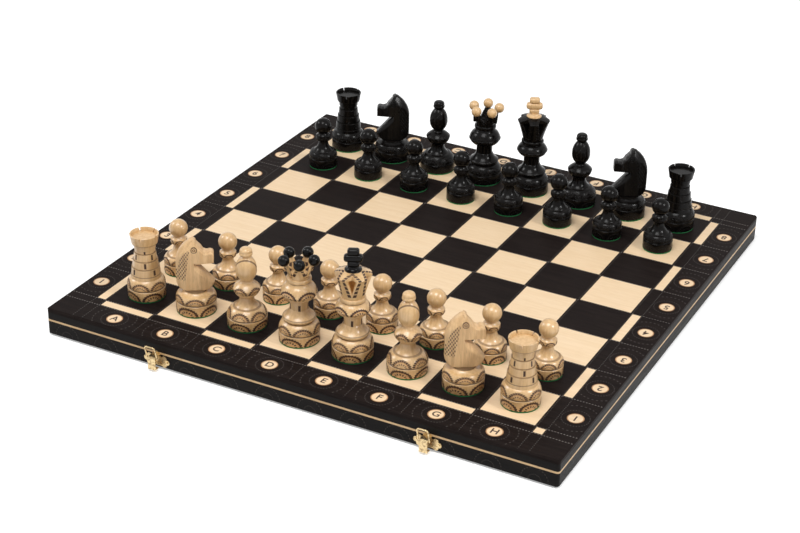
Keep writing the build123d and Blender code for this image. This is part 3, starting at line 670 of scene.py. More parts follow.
@dataclass(frozen=True)
class StainedPanel(Finish):
    """The dark playing panel with its tooled lines. Metres.

    Of the lines, the pale dots are painted highlights, fainter along the files than along the ranks.
    """

    square: float
    field: float
    band: float
    disc: float
    top: float
    # Strengths of the painted highlights on the dots of each kind of line.
    file_glint: float = 0.3
    rank_glint: float = 0.85
    arc_glint: float = 0.22
    arcs: tuple[float, float] = (0.0125, 0.0205)
    arc_dots: float = 0.014
    deep: Colour = (0.0095, 0.0065, 0.006, 1)
    light: Colour = (0.0165, 0.012, 0.0108, 1)
    pore: Colour = (0.006, 0.004, 0.0035, 1)
    groove: Colour = (0.004, 0.003, 0.003, 1)
    # Colour of the painted highlights on the tooled dots.
    dot: Colour = (0.3, 0.27, 0.25, 1)

    def lines(self, w: Wiring, place: Value) -> tuple[Value, Value]:
        """Gather the tooled lines between the squares, round the band and round the discs.

        Args:
            w: wiring of the material's tree.
            place: Object coordinates.

        Returns:
            The mask of the dots, painted as highlights, and the grooves' mask.
        """
        x, y, z = w.split(place)
        face = w.step(z, self.top - 0.0006, self.top - 0.0002)
        edge = self.field + self.band
        dots: Value = 0.0
        grooves: Value = 0.0
        # shown: how strongly the dots of these lines are painted as highlights.
        for across, along, shown in ((x, y, self.file_glint), (y, x, self.rank_glint)):
            out = w.math("ABSOLUTE", across)
            near = w.plus(w.math("PINGPONG", across, self.square / 2),
                          w.step(out, self.field + 0.002, self.field + 0.003))
            near = w.math("MINIMUM", near, w.away(out, edge))
            tooled = w.group(Effects.tooled_line(), Across=near, Along=along)
            dots = w.most(dots, w.times(tooled["Dots"], shown))
            grooves = w.most(grooves, tooled["Line"])
            disc = w.group(Effects.ring_distance(), Across=across, Along=along, Pitch=self.square,
                           Row=self.disc)
            turn = w.times(disc["Angle"], self.arc_dots)
            border = w.times(w.step(out, edge, edge + 0.001),
                             w.fall(w.math("ABSOLUTE", along), self.field, self.field + 0.001))
            for radius in self.arcs:
                arc = w.group(Effects.tooled_line(), Across=w.away(disc["Out"], radius), Along=turn)
                dots = w.most(dots, w.times(arc["Dots"], border, self.arc_glint))
        return w.times(dots, face), w.times(grooves, face)

    def wire(self, w: Wiring, shader: bpy.types.Node) -> None:
        """Wire the stained wood and its tooling, with painted highlights on the tooled dots.

        Args:
            w: wiring of the material's tree.
            shader: its Principled BSDF.
        """
        place = w.place()
        dots, grooves = self.lines(w, place)
        grain = w.group(Effects.grain(), Place=place, Stretch=GRAIN_ALONG_X)
        # The tooled dots are painted highlights.
        wood = w.coat(w.mix(grain["Figure"], self.deep, self.light), (grain["Pores"], 0.5, self.pore),
                      (grooves, 0.5, self.groove), (dots, 0.8, self.dot))
        height = w.minus(w.times(grain["Pores"], -0.12), grooves)
        w.feed(shader, {"Base Color": wood, "Roughness": w.spread(grain["Figure"], 0.42, 0.52),
                        "Specular IOR Level": 0.025, "Normal": w.bump(height, 0.0003, 0.6)})


@dataclass(frozen=True)
class StainedRail(Finish):
    """A dark rail with arcs tooled along its lower half, their dots painted as highlights. Metres."""

    pitch: float
    lengthwise: bool
    arcs: tuple[float, float] = (0.006, 0.0128)
    arc_dots: float = 0.012
    arc_top: float = 0.0125
    deep: Colour = (0.0045, 0.0038, 0.0036, 1)
    light: Colour = (0.008, 0.0065, 0.006, 1)
    # Colour of the painted highlights on the tooled dots.
    dot: Colour = (0.075, 0.062, 0.054, 1)

    def wire(self, w: Wiring, shader: bpy.types.Node) -> None:
        """Wire the stained wood and the tooled arcs, with painted highlights on their dots.

        Args:
            w: wiring of the material's tree.
            shader: its Principled BSDF.
        """
        place = w.place()
        x, y, z = w.split(place)
        along, stretch = (x, GRAIN_ALONG_X) if self.lengthwise else (y, GRAIN_ALONG_Y)
        ring = w.group(Effects.ring_distance(), Across=z, Along=along, Pitch=self.pitch, Row=0.0)
        turn = w.times(ring["Angle"], self.arc_dots)
        low = w.fall(z, self.arc_top, self.arc_top + 0.0003)
        dots: Value = 0.0
        lines: Value = 0.0
        for radius in self.arcs:
            arc = w.group(Effects.tooled_line(), Across=w.away(ring["Out"], radius), Along=turn)
            dots = w.most(dots, w.times(arc["Dots"], low))
            lines = w.most(lines, w.times(arc["Line"], low))
        grain = w.group(Effects.grain(), Place=place, Stretch=stretch)
        # The tooled dots are painted highlights.
        wood = w.coat(w.mix(grain["Figure"], self.deep, self.light), (dots, 0.5, self.dot))
        height = w.minus(w.times(grain["Pores"], -0.1), lines)
        w.feed(shader, {"Base Color": wood, "Roughness": w.spread(grain["Figure"], 0.4, 0.5),
                        "Specular IOR Level": 0.08, "Normal": w.bump(height, 0.0004, 0.7)})


@dataclass(frozen=True)
class PaleVeneer(Finish):
    """Pale inlaid veneer, each square cut from its own leaf, with burnt edges to its discs. Metres."""

    square: float
    light: Colour = (0.845, 0.643, 0.422, 1)
    deep: Colour = (0.8, 0.592, 0.37, 1)
    disc: float = 0.0
    disc_r: float = 0.0
    warm: Colour = (0.80, 0.56, 0.32, 1)
    pore: Colour = (0.50, 0.32, 0.16, 1)
    burnt: Colour = (0.36, 0.15, 0.04, 1)

    def burnt_ring(self, w: Wiring, place: Value) -> Value:
        """Mask of the burnt edge of the coordinate discs.

        Args:
            w: wiring of the material's tree.
            place: Object coordinates.

        Returns:
            The mask's socket.
        """
        x, y, _ = w.split(place)
        sizes = {"Pitch": self.square, "Row": self.disc}
        discs = [w.group(Effects.ring_distance(), Across=across, Along=along, **sizes)
                 for across, along in ((x, y), (y, x))]
        return w.most(*(w.band(disc["Out"], self.disc_r, 0.0007, 0.0005) for disc in discs))

    def wire(self, w: Wiring, shader: bpy.types.Node) -> None:
        """Wire a fine grain whose tone changes from square to square.

        Args:
            w: wiring of the material's tree.
            shader: its Principled BSDF.
        """
        place = w.place()
        squares = w.vector("MULTIPLY", place, (1 / self.square, 1 / self.square, 0.0))
        corner = w.vector("FLOOR", squares)
        leaf = w.node("ShaderNodeTexWhiteNoise", {"Vector": corner}, noise_dimensions="3D")
        moved = w.vector("ADD", place, leaf.outputs["Color"])
        grain = w.group(Effects.grain(), Place=moved, Stretch=VENEER_GRAIN)
        wood = w.coat(w.mix(grain["Figure"], self.light, self.deep), (leaf.outputs["Value"], 0.25, self.warm),
                      (grain["Pores"], 0.14, self.pore))
        if self.disc_r:
            wood = w.coat(wood, (self.burnt_ring(w, place), 0.85, self.burnt))
        w.feed(shader, {"Base Color": wood, "Roughness": w.spread(grain["Figure"], 0.38, 0.46),
                        "Normal": w.bump(grain["Pores"], -0.00008, 0.5)})


@dataclass(frozen=True)
class AgedBrass(Finish):
    """Brass, darkened in places."""

    bright: Colour = (0.7, 0.54, 0.3, 1)
    dull: Colour = (0.36, 0.26, 0.14, 1)
    scratches: Axes = (5000.0, 900.0, 900.0)

    def wire(self, w: Wiring, shader: bpy.types.Node) -> None:
        """Wire the metal, its tarnish and fine scratches.

        Args:
            w: wiring of the material's tree.
            shader: its Principled BSDF.
        """
        place = w.place()
        tarnish = w.step(w.noise(place, 420.0, 4.0), 0.42, 0.66)
        scratch = w.noise(w.vector("MULTIPLY", place, self.scratches), 1.0, 2.0)
        w.feed(shader, {"Base Color": w.mix(tarnish, self.bright, self.dull), "Metallic": 1.0,
                        "Roughness": w.spread(tarnish, 0.27, 0.5), "Normal": w.bump(scratch, 0.00006, 0.4)})


@dataclass(frozen=True)
class BurntLetter(Finish):
    """Characters burnt into pale wood."""

    deep: Colour = (0.012, 0.006, 0.004, 1)
    light: Colour = (0.07, 0.028, 0.013, 1)

    def wire(self, w: Wiring, shader: bpy.types.Node) -> None:
        """Wire an uneven dark brown.

        Args:
            w: wiring of the material's tree.
            shader: its Principled BSDF.
        """
        burn = w.noise(w.place(), 1500.0)
        w.feed(shader, {"Base Color": w.mix(burn, self.deep, self.light), "Roughness": 0.65,
                        "Normal": w.bump(burn, 0.0001, 0.6)})


@dataclass(frozen=True)
class PaleFloor(Finish):
    """A matt floor that shines where it is seen, and more so away from the object. Metres."""

    tone: Colour = (0.9, 0.9, 0.9, 1)
    glow_from: tuple[float, float] = (0.8, 2.4)
    glow: tuple[float, float] = (0.35, 0.9)

    def wire(self, w: Wiring, shader: bpy.types.Node) -> None:
        """Wire the shine over the matt tone.

        Args:
            w: wiring of the material's tree.
            shader: its Principled BSDF.
        """
        away = w.node("ShaderNodeVectorMath", {0: w.place()}, operation="LENGTH").outputs["Value"]
        glow = w.times(w.seen("Camera", "Glossy"), w.spread(w.step(away, *self.glow_from), *self.glow))
        w.feed(shader, {"Base Color": self.tone, "Roughness": 0.9, "Specular IOR Level": 0.0,
                        "Emission Color": (1, 1, 1, 1), "Emission Strength": glow})


# Mesh making

class Turning:
    """Half outline of a turned piece in millimetres, walked upwards from its foot."""

    def __init__(self, z: float, r: float = 0.0) -> None:
        """Start the outline at a height and a radius."""
        self.points: list[tuple[float, float]] = [(r, z)]

    @property
    def r(self) -> float:
        """Present radius."""
        return self.points[-1][0]

    @property
    def z(self) -> float:
        """Present height."""
        return self.points[-1][1]

    @staticmethod
    def centre(a: Vector, b: Vector, c: Vector) -> Vector:
        """Centre of the circle through three points.

        Args:
            a: first point.
            b: second point.
            c: third point.

        Returns:
            The centre.
        """
        ab, ac = b - a, c - a
        out = Vector((ac.y * ab.length_squared - ab.y * ac.length_squared,
                      ab.x * ac.length_squared - ac.x * ab.length_squared))
        return a + out / (2 * ab.cross(ac))

    def radius_at(self, z: float) -> float:
        """Radius of an outline that only rises.

        Args:
            z: the height.

        Returns:
            The radius there.
        """
        for (r0, z0), (r1, z1) in zip(self.points, self.points[1:]):
            if z <= z1:
                return r0 + (r1 - r0) * (z - z0) / (z1 - z0)
        return self.r

    def refine(self, longest: float) -> "Turning":
        """Split the outline's stretches until none is longer than a length.

        Args:
            longest: the length.

        Returns:
            The outline itself.
        """
        fine = self.points[:1]
        for (r0, z0), (r1, z1) in zip(self.points, self.points[1:]):
            steps = max(1, math.ceil(math.hypot(r1 - r0, z1 - z0) / longest))
            fine += [(r0 + (r1 - r0) * i / steps, z0 + (z1 - z0) * i / steps) for i in range(1, steps + 1)]
        self.points = fine
        return self

    def curve(self, middle: Vector, there: Vector) -> "Turning":
        """Go to a point on the arc through a middle point.

        Args:
            middle: a point of the arc.
            there: its end.

        Returns:
            The outline itself.
        """
        here = Vector((self.r, self.z))
        centre = self.centre(here, middle, there)
        start = math.atan2(here.y - centre.y, here.x - centre.x)
        end = math.atan2(there.y - centre.y, there.x - centre.x)
        left = (middle - here).cross(there - here) > 0
        turn = (end - start) % math.tau if left else -((start - end) % math.tau)
        radius = (here - centre).length
        steps = max(3, math.ceil(abs(turn) * radius / CHORD))
        for i in range(1, steps):
            angle = start + turn * i / steps
            self.points.append((centre.x + radius * math.cos(angle), centre.y + radius * math.sin(angle)))
        self.points.append((there.x, there.y))
        return self

    def to(self, r: float, rise: float = 0.0, bulge: float = 0.0) -> "Turning":
        """Go to a radius and up by rise, on a line or on an arc that bulges out by bulge.

        Args:
            r: the new radius.
            rise: how far up.
            bulge: height of the arc over its chord.

        Returns:
            The outline itself.
        """
        here, there = Vector((self.r, self.z)), Vector((r, self.z + rise))
        if not bulge:
            self.points.append((there.x, there.y))
            return self
        run = there - here
        out = Vector((run.y, -run.x)).normalized()
        return self.curve((here + there) / 2 + out * bulge, there)

    def groove(self, depth: float) -> "Turning":
        """Cut a V groove that starts and ends at the present radius."""
        r = self.r
        return self.to(r - depth, depth).to(r, depth)

    def ball(self, radius: float) -> "Turning":
        """Close the outline with a ball that sits on the present radius."""
        drop = math.sqrt(radius ** 2 - self.r ** 2)
        return self.curve(Vector((radius, self.z + drop)), Vector((0.0, self.z + drop + radius)))

    def spin(self, bm: bmesh.types.BMesh, angle: float = math.tau, start: float = 0.0,
             segments: int = SEGMENTS) -> list:
        """Spin the outline about Z.

        Args:
            bm: mesh that takes the result.
            angle: how far it is spun; less than a full turn spins a closed face.
            start: angle of the first section.
            segments: steps of a full turn.

        Returns:
            The faces that it made.
        """
        before = set(bm.faces)
        turn = Matrix.Rotation(start, 3, "Z")
        verts = [bm.verts.new(turn @ Vector((r, 0.0, z)) * MM) for r, z in self.points]
        full = angle >= math.tau
        edges = [bm.edges.new(pair) for pair in zip(verts, verts[1:])]
        geom: list = verts + edges
        if not full:
            geom = [bm.faces.new(verts)]
        steps = max(4, round(segments * angle / math.tau))
        bmesh.ops.spin(bm, geom=geom, cent=(0, 0, 0), axis=(0, 0, 1), dvec=(0, 0, 0), angle=angle,
                       steps=steps, use_merge=full, use_normal_flip=False, use_duplicate=False)
        made = [face for face in bm.faces if face not in before]
        if full:
            bmesh.ops.remove_doubles(bm, verts=list({v for f in made for v in f.verts}), dist=MERGE)
            made = [face for face in bm.faces if face not in before]
        return made


class Shapes:
    """Steps that several pieces share."""

    @staticmethod
    def map_round(bm: bmesh.types.BMesh) -> None:
        """Write the turn map and the plan map.

        Args:
            bm: a mesh that stands on the Z axis.
        """
        turn = bm.loops.layers.uv.new(Map.TURN.value)
        plan = bm.loops.layers.uv.new(Map.PLAN.value)
        for face in bm.faces:
            middle = face.calc_center_median()
            centre = math.atan2(middle.y, middle.x) / math.tau
            for loop in face.loops:
                x, y, z = loop.vert.co
                angle = math.atan2(y, x) / math.tau if math.hypot(x, y) > MERGE else centre
                angle += round(centre - angle)
                loop[turn].uv = (angle, z)
                loop[plan].uv = (x, y)

    @staticmethod
    def write(bm: bmesh.types.BMesh, name: str) -> bpy.types.Mesh:
        """Write a mesh.

        Args:
            bm: the mesh; it is freed.
            name: the new mesh's name.

        Returns:
            The mesh.
        """
        mesh = bpy.data.meshes.new(name)
        bm.to_mesh(mesh)
        bm.free()
        return mesh

    @staticmethod
    def finish_mesh(bm: bmesh.types.BMesh, name: str, sharp: float = 32.0) -> bpy.types.Mesh:
        """Turn the normals outwards, map the mesh and write it.

        Args:
            bm: the mesh; it is freed.
            name: the new mesh's name.
            sharp: edges that turn by more degrees stay sharp.

        Returns:
            The mesh.
        """
        bmesh.ops.recalc_face_normals(bm, faces=bm.faces)
        Shapes.map_round(bm)
        mesh = Shapes.write(bm, name)
        mesh.shade_smooth()
        mesh.set_sharp_from_angle(angle=math.radians(sharp))
        return mesh

    @staticmethod
    def add(name: str, data: bpy.types.ID) -> bpy.types.Object:
        """Put an object into the scene.

        Args:
            name: its name.
            data: its mesh, curve, lamp or camera.

        Returns:
            The object.
        """
        made = bpy.data.objects.new(name, data)
        bpy.context.scene.collection.objects.link(made)
        return made

    @staticmethod
    def show(mesh: bpy.types.Mesh, name: str, body: str, finish: Finish, slot: Optional[Slot] = None,
             replaces: Sequence[str] = ()) -> None:
        """Put a mesh into the scene as a piece.

        Args:
            mesh: the mesh, in place.
            name: the piece's name.
            body: the body that it rides on.
            finish: its finish.
            slot: the record's slot; not used.
            replaces: nodes that it stands for.
        """
        mesh.materials.clear()
        mesh.materials.append(finish.material())
        piece = Shapes.add(name, mesh)
        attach(piece, body)
        if replaces:
            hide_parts(*replaces)
        LOG.info("%s: %d faces", name, len(mesh.polygons))


# Chessmen

@dataclass(frozen=True)
class Part:
    """One mesh of a chessman, on the Z axis, with what it is made of."""

    name: str
    mesh: bpy.types.Mesh
    finish: Finish
    slot: Optional[Slot]
    stands_for: Optional[str] = None


@dataclass
class Chessman:
    """What all chessmen share: felt, a drum with a groove, and a round shoulder. Millimetres."""

    army: Army
    radius: float = 18.8
    drum: float = 11.0
    shoulder_r: float = 13.4
    shoulder: float = 9.2
    felt: float = 1.2
    felt_inset: float = 0.3
    chamfer: float = 0.7
    notch: float = 0.9
    step: float = 0.6
    bulge: float = 1.3
    hollow: float = 1.5
    cove: float = 0.4
    chamfer_bulge: float = 0.15
    felt_edge: float = 0.3
    felt_bulge: float = 0.08
    drum_arcs: int = 5
    drum_phase: float = 0.0
    drum_share: float = 0.78
    shoulder_arcs: int = 6
    shoulder_phase: float = 0.5
    shoulder_inner: float = 0.8
    arc_share: float = 0.7
    arc_up: float = 0.2
    groove_line: float = 0.35
    groove_dark: float = 0.75
    seam_line: float = 0.25
    seam_dark: float = 0.55

    @property
    def kind(self) -> str:
        """Name of this kind of chessman."""
        return type(self).__name__.lower()

    def slot(self, other: bool = False) -> Slot:
        """Slot of the chessman's wood, or of the other army's."""
        return Slot.PALE if (self.army is Army.PALE) != other else Slot.DARK

    def turned(self, arcs: Sequence[ArcRow] = (), dashes: Sequence[DashRow] = (),
               rims: Sequence[RimRow] = ()) -> Turned:
        """Make the finish of the chessman's wood, with the foot's ornament and its own.

        Args:
            arcs: rows of arcs.
            dashes: rings of dashes.
            rims: marks along cuts.

        Returns:
            The finish.
        """
        made = PaleTurned if self.army is Army.PALE else DarkTurned
        high = self.drum + self.notch
        foot = (ArcRow(self.felt + self.arc_up, self.drum_share * (self.drum - self.felt), self.drum_arcs,
                       self.drum_phase),
                ArcRow(high, self.arc_share * self.shoulder, self.shoulder_arcs, self.shoulder_phase,
                       self.shoulder_inner, 1.0))
        groove = self.line(self.drum, self.groove_line, self.groove_dark)
        return made(f"{self.army.value}_{self.kind}_wood", foot + tuple(arcs), (groove, *dashes), tuple(rims))

    @staticmethod
    def line(z: float, half: float, strength: float) -> DashRow:
        """A dark line round the chessman at a height, with half its width."""
        return DashRow(z - half, z + half, strength=strength)

    def seam(self, z: float) -> DashRow:
        """A thin dark line round the chessman at a height."""
        return self.line(z, self.seam_line, self.seam_dark)

    def contrast(self) -> Turned:
        """Make the finish of the other army's wood, without ornament.

        Returns:
            The finish.
        """
        if self.army is Army.PALE:
            return DarkTurned("contrast_dark_wood", gloss=0.15, rough=0.1)
        return PaleTurned("contrast_pale_wood")

    def foot(self) -> Turning:
        """Turn the drum with its groove, and the shoulder.

        Returns:
            The outline.
        """
        r = self.radius
        outline = Turning(self.felt).to(r - self.chamfer).to(r, self.chamfer, self.chamfer_bulge)
        outline.to(r, self.drum - self.felt - self.chamfer - self.notch).groove(self.notch)
        return outline.to(self.shoulder_r, self.shoulder - self.notch, self.bulge)

    def felt_part(self) -> Part:
        """Make the felt pad under the drum.

        Returns:
            The part.
        """
        bm = bmesh.new()
        r, edge = self.radius - self.felt_inset, self.felt_edge
        Turning(0).to(r - edge).to(r, edge, self.felt_bulge).to(r, self.felt - edge).to(0).spin(bm)
        return Part("felt", Shapes.finish_mesh(bm, f"{self.kind}_felt"), Felt("green_felt"), None)

    def wood_part(self, bm: bmesh.types.BMesh, finish: Turned) -> Part:
        """Make the turned body, which stands for the chessman's node, from its mesh and its finish."""
        return Part("wood", Shapes.finish_mesh(bm, f"{self.kind}_wood"), finish, self.slot(), "")

    def parts(self) -> list[Part]:
        """Build the chessman's parts."""
        raise NotImplementedError


@dataclass
class Pawn(Chessman):
    """A pawn: cone, collar and ball."""

    radius: float = 15.0
    drum: float = 11.4
    shoulder_r: float = 11.4
    shoulder: float = 7.4
    neck_r: float = 5.0
    cone: float = 10.8
    collar_r: float = 7.9
    cup: float = 5.0
    rim: float = 1.1
    top: float = 3.1
    ball_r: float = 8.9
    cup_arcs: tuple[float, float] = (0.4, 0.8)
    cup_phase: float = 0.2

    def parts(self) -> list[Part]:
        """Build the turned body and its felt.

        Returns:
            The parts.
        """
        body = self.foot().to(self.shoulder_r - self.step)
        ledge = self.seam(body.z)
        body.to(self.neck_r, self.cone, -self.hollow)
        low, rise = self.cup_arcs
        arcs = [ArcRow(body.z + low * self.cup, rise * self.cup, self.drum_arcs, self.cup_phase)]
        body.to(self.collar_r, self.cup, self.bulge).to(self.collar_r, self.rim)
        body.to(self.neck_r, self.top, -self.cove).ball(self.ball_r)
        bm = bmesh.new()
        body.spin(bm)
        return [self.wood_part(bm, self.turned(arcs, [ledge])), self.felt_part()]


@dataclass
class Rook(Chessman):
    """A rook: stepped rings and a slotted cup."""

    radius: float = 17.8
    drum: float = 11.6
    shoulder_r: float = 14.3
    shoulder: float = 9.5
    shoulder_phase: float = 0.75
    footing: float = 3.6
    rings: int = 3
    ring: float = 7.5
    taper: float = 0.7
    ledge: float = 0.75
    neck: float = 3.6
    bead_out: float = 0.6
    bead: float = 5.5
    bead_flare: float = 0.4
    cup_out: float = 1.8
    cup: float = 9.1
    cup_r: float = 13.7
    lip: float = 1.5
    dish: float = 3.2
    slots: int = 5
    slot_wide: float = 1.7
    ring_dashes: int = 4
    dash_half: float = 0.05
    dash_phases: tuple[float, float] = (0.7, 0.13)
    ring_share: tuple[float, float] = (0.2, 0.85)
    neck_share: tuple[float, float] = (0.1, 0.8)
    rim_in: float = 0.1
    rim_edge: float = 0.3
    dish_slope: float = 0.8

    def dashes(self, z: float, height: float, share: tuple[float, float], number: int) -> DashRow:
        """Make the dashes of a ring, by its foot, height, the share of it that they cover, and its number."""
        low, high = (z + part * height for part in share)
        return DashRow(low, high, self.ring_dashes, self.dash_phases[number % 2], self.dash_half)

    def battlements(self, bm: bmesh.types.BMesh, floor: float, floor_r: float) -> None:
        """Spin the cup's rim between its slots.

        Args:
            bm: mesh that takes it.
            floor: height of the cup's floor.
            floor_r: the cup's outer radius there.
        """
        step = math.tau / self.slots
        gap = self.slot_wide / self.cup_r
        outer, inner = self.cup_r - self.rim_in, self.cup_r - 2 * self.lip
        slope = self.dish_slope * self.dish
        for i in range(self.slots):
            rim = Turning(floor, floor_r).to(outer, self.dish - self.rim_edge)
            rim.to(outer - self.rim_edge, self.rim_edge).to(self.cup_r - self.lip)
            rim.to(inner, -slope).to(inner, slope - self.dish)
            rim.spin(bm, step - gap, step * i + gap / 2)

    def parts(self) -> list[Part]:
        """Build the turned body with its battlements, and its felt.

        Returns:
            The parts.
        """
        body = self.foot().to(self.shoulder_r - self.step, self.footing)
        rows = [self.seam(body.z)]
        for i in range(self.rings):
            rows.append(self.dashes(body.z, self.ring, self.ring_share, i))
            body.to(body.r - self.taper, self.ring).to(body.r - self.ledge)
            rows.append(self.seam(body.z))
        rows.append(self.dashes(body.z, self.neck, self.neck_share, self.rings))
        body.to(body.r, self.neck).to(body.r + self.bead_out)
        body.to(body.r + self.bead_flare, self.bead).to(body.r + self.cup_out)
        rows.append(self.seam(body.z))
        low_r = body.r
        floor_r = low_r + (self.cup_r - low_r) * (1 - self.dish / self.cup)
        floor = body.to(floor_r, self.cup - self.dish).z
        bm = bmesh.new()
        body.to(0).spin(bm)
        self.battlements(bm, floor, floor_r)
        return [self.wood_part(bm, self.turned(dashes=rows)), self.felt_part()]


@dataclass
class Knight(Chessman):
    """A knight: turned base and a flat-sided carved head that faces +X."""

    drum: float = 12.2
    shoulder_r: float = 16.6
    shoulder: float = 7.2
    bulge: float = 0.8
    drum_phase: float = 0.13
    shoulder_phase: float = 0.04
    arc_share: float = 0.82
    lip_r: float = 12.0
    lip: float = 1.6
    neck_r: float = 11.2
    neck: float = 1.6
    thick: float = 15.6
    mane_thin: float = 0.45
    nose_thin: float = 0.7
    ear_thin: float = 0.6
    ear_low: float = 41.3
    mane_in: float = 8.5
    sole_r: float = 10.8
    bulge_r: float = 17.6
    bulge_z: float = 7.8
    round: float = 1.7
    tall: float = 51.6
    ear_back: float = 2.4
    ear: float = 5.0
    ear_front: float = 1.1
    ear_wide: float = 6.2
    ear_flat: float = 0.9
    mane_tall: float = 28.7
    crest_out: float = 10.2
    crest_up: float = 45.8
    nose_out: float = 17.2
    nose_low: float = 27.6
    nose_tall: float = 10.2
    nose_round: float = 1.8
    cheek_x: float = 5.2
    bridge_x: float = 7.6
    nostril_x: float = 13.1
    throat_in: float = 0.4
    throat_up: float = 0.4
    throat_edge: float = 4.6
    throat_wide: float = 3.6
    crest_edge: float = 2.6
    crest_wide: float = 2.4
    crest_drop: float = 5.0
    dip: float = 0.9
    dip_wide: float = 1.5
    dip_low: float = 30.0
    dip_fade: float = 6.0
    edge: float = 0.5
    cell: float = 0.8
    sharp: float = 50.0
    eye_x: float = -0.5
    eye_z: float = 42.2
    eye_sink: float = 0.3
    ring_radii: tuple[float, float, float, float] = (1.2, 1.5, 2.1, 2.6)
    ring_rise: float = 0.7
    ring_bulge: float = 0.1
    pupil_radii: tuple[float, float] = (0.8, 0.6)
    pupil_rise: float = 0.6
    # Strength of the dark band at the neck: partly a burnt line at the joint, partly painted shade under the
    # head.
    joint_burn_and_shade: float = 0.8

    def head_outline(self) -> Turning:
        """Draw the head's side view above its sole.

        Returns:
            The outline; its radius is the distance towards the nose.
        """
        back, nose = -self.bulge_r, self.nose_out
        brow = self.nose_low + self.nose_tall
        line = Turning(0.0, self.sole_r).to(self.bulge_r, self.bulge_z, self.round)
        line.to(-self.throat_in, self.nose_low + self.throat_up - self.bulge_z).to(nose, -self.throat_up)
        line.to(nose, self.nose_tall - self.nose_round)
        line.curve(Vector((nose - self.nose_round / 2, brow - self.nose_round / 4)),
                   Vector((self.nostril_x, brow)))
        line.curve(Vector(((self.bridge_x + self.nostril_x) / 2, brow - self.step)),
                   Vector((self.bridge_x, brow + self.step)))
        middle, radius = self.crest()
        behind = Vector((-self.ear_wide, middle.y + math.sqrt(radius ** 2 - (self.ear_wide + middle.x) ** 2)))
        line.to(self.ear_front, self.tall - self.ear - line.z)
        line.curve(Vector((self.ear_flat - self.ear_back, self.tall - self.ear_flat)), behind)
        line.curve(Vector((-self.crest_out, self.crest_up)), Vector((back, self.mane_tall)))
        return line.to(back, self.bulge_z - self.mane_tall).to(-self.sole_r, -self.bulge_z, self.round)

    def half_thickness(self, x: float, z: float) -> float:
        """Half the head's thickness at a point of its side view.

        Args:
            x: distance towards the nose.
            z: height above the sole.

        Returns:
            The distance of the carved side from the middle plane.
        """
        half = self.thick / 2
        mane = (-self.mane_in - x) / (self.bulge_r - self.mane_in)
        nose = (x - self.cheek_x) / (self.bulge_r - self.cheek_x)
        ear = (z - self.ear_low) / (self.tall - self.ear_low)
        thins = ((mane, self.mane_thin), (nose, self.nose_thin), (ear, self.ear_thin))
        out = min(half * (1 - (1 - thin) * max(share, 0.0)) for share, thin in thins)
        if z > self.mane_tall and x < -self.ear_back:
            middle, radius = self.crest()
            inside = radius - (Vector((x, z)) - middle).length
            low = middle - Vector((0, self.crest_drop))
            beyond = max((Vector((x, z)) - low).length - radius + self.crest_wide, 0.0)
            share = inside / max(inside + beyond, self.step)
            out = min(out, self.crest_edge + (half - self.crest_edge) * share)
        throat = Vector((-self.throat_in, self.nose_low + self.throat_up))
        neck = (Vector((self.bulge_r, self.bulge_z)) - throat).normalized()
        under = neck.cross(Vector((x, z)) - throat)
        if z < self.nose_low and x > -self.throat_in:
            out = min(out, self.throat_edge + (half - self.throat_edge) * max(-under, 0.0) / self.throat_wide)
        above = min(max((z - self.dip_low) / self.dip_fade, 0.0), 1.0)
        out -= self.dip * math.exp(-((x - self.bridge_x) / self.dip_wide) ** 2) * above
        if z < self.bulge_z:
            blank = Turning(0.0, self.sole_r).to(self.bulge_r, self.bulge_z, self.round).radius_at(z)
            out = min(out, math.sqrt(max(blank ** 2 - x ** 2, 0.0)))
        return out

    def head(self, sole: float) -> Part:
        """Carve the head: a fine grid over the side view, moved out to both sides.

        Args:
            sole: height of the head's underside.

        Returns:
            The part.
        """
        bm = bmesh.new()
        bm.faces.new([bm.verts.new(Vector((u, 0.0, z)) * MM) for u, z in self.head_outline().points])
        for normal, low, high in ((Vector((1, 0, 0)), -self.bulge_r, self.bulge_r),
                                  (Vector((0, 0, 1)), 0.0, self.tall)):
            for i in range(1, math.ceil((high - low) / self.cell)):
                geom = list(bm.verts) + list(bm.edges) + list(bm.faces)
                point = normal * (low + i * self.cell) * MM
                bmesh.ops.bisect_plane(bm, geom=geom, dist=MERGE / 10, plane_co=point, plane_no=normal)
        made = bmesh.ops.extrude_face_region(bm, geom=list(bm.faces))
        upper = {v for v in made["geom"] if isinstance(v, bmesh.types.BMVert)}
        walls = [e for e in bm.edges if (e.verts[0] in upper) != (e.verts[1] in upper)]
        rim = {v for e in walls for v in e.verts}
        for vert in bm.verts:
            out = self.half_thickness(vert.co.x / MM, vert.co.z / MM)
            out = max(out - self.edge, 0.0) if vert in rim else out
            vert.co.y = (out if vert in upper else -out) * MM
        bmesh.ops.remove_doubles(bm, verts=bm.verts, dist=MERGE)
        bmesh.ops.translate(bm, verts=bm.verts, vec=(0, 0, sole * MM))
        mesh = Shapes.finish_mesh(bm, "knight_head", self.sharp)
        return Part("head", mesh, self.carved(sole), self.slot())

    def carved(self, sole: float) -> CarvedHead:
        """Finish of the head and of the eyes.

        Args:
            sole: height of the head's underside.

        Returns:
            The finish.
        """
        eye = (self.eye_x, sole + self.eye_z)
        middle, radius = self.crest()
        crest = (middle.x, sole + middle.y - self.crest_drop, radius - self.crest_wide)
        if self.army is Army.PALE:
            return CarvedHead("pale_carved_head", eye, crest)
        return CarvedHead("dark_carved_head", eye, crest, light=(0.0065, 0.0055, 0.005, 1),
                          deep=(0.004, 0.0034, 0.0032, 1), cut=(0.002, 0.0018, 0.0016, 1), rough=0.26,
                          varnish=0.03, gloss=0.12)

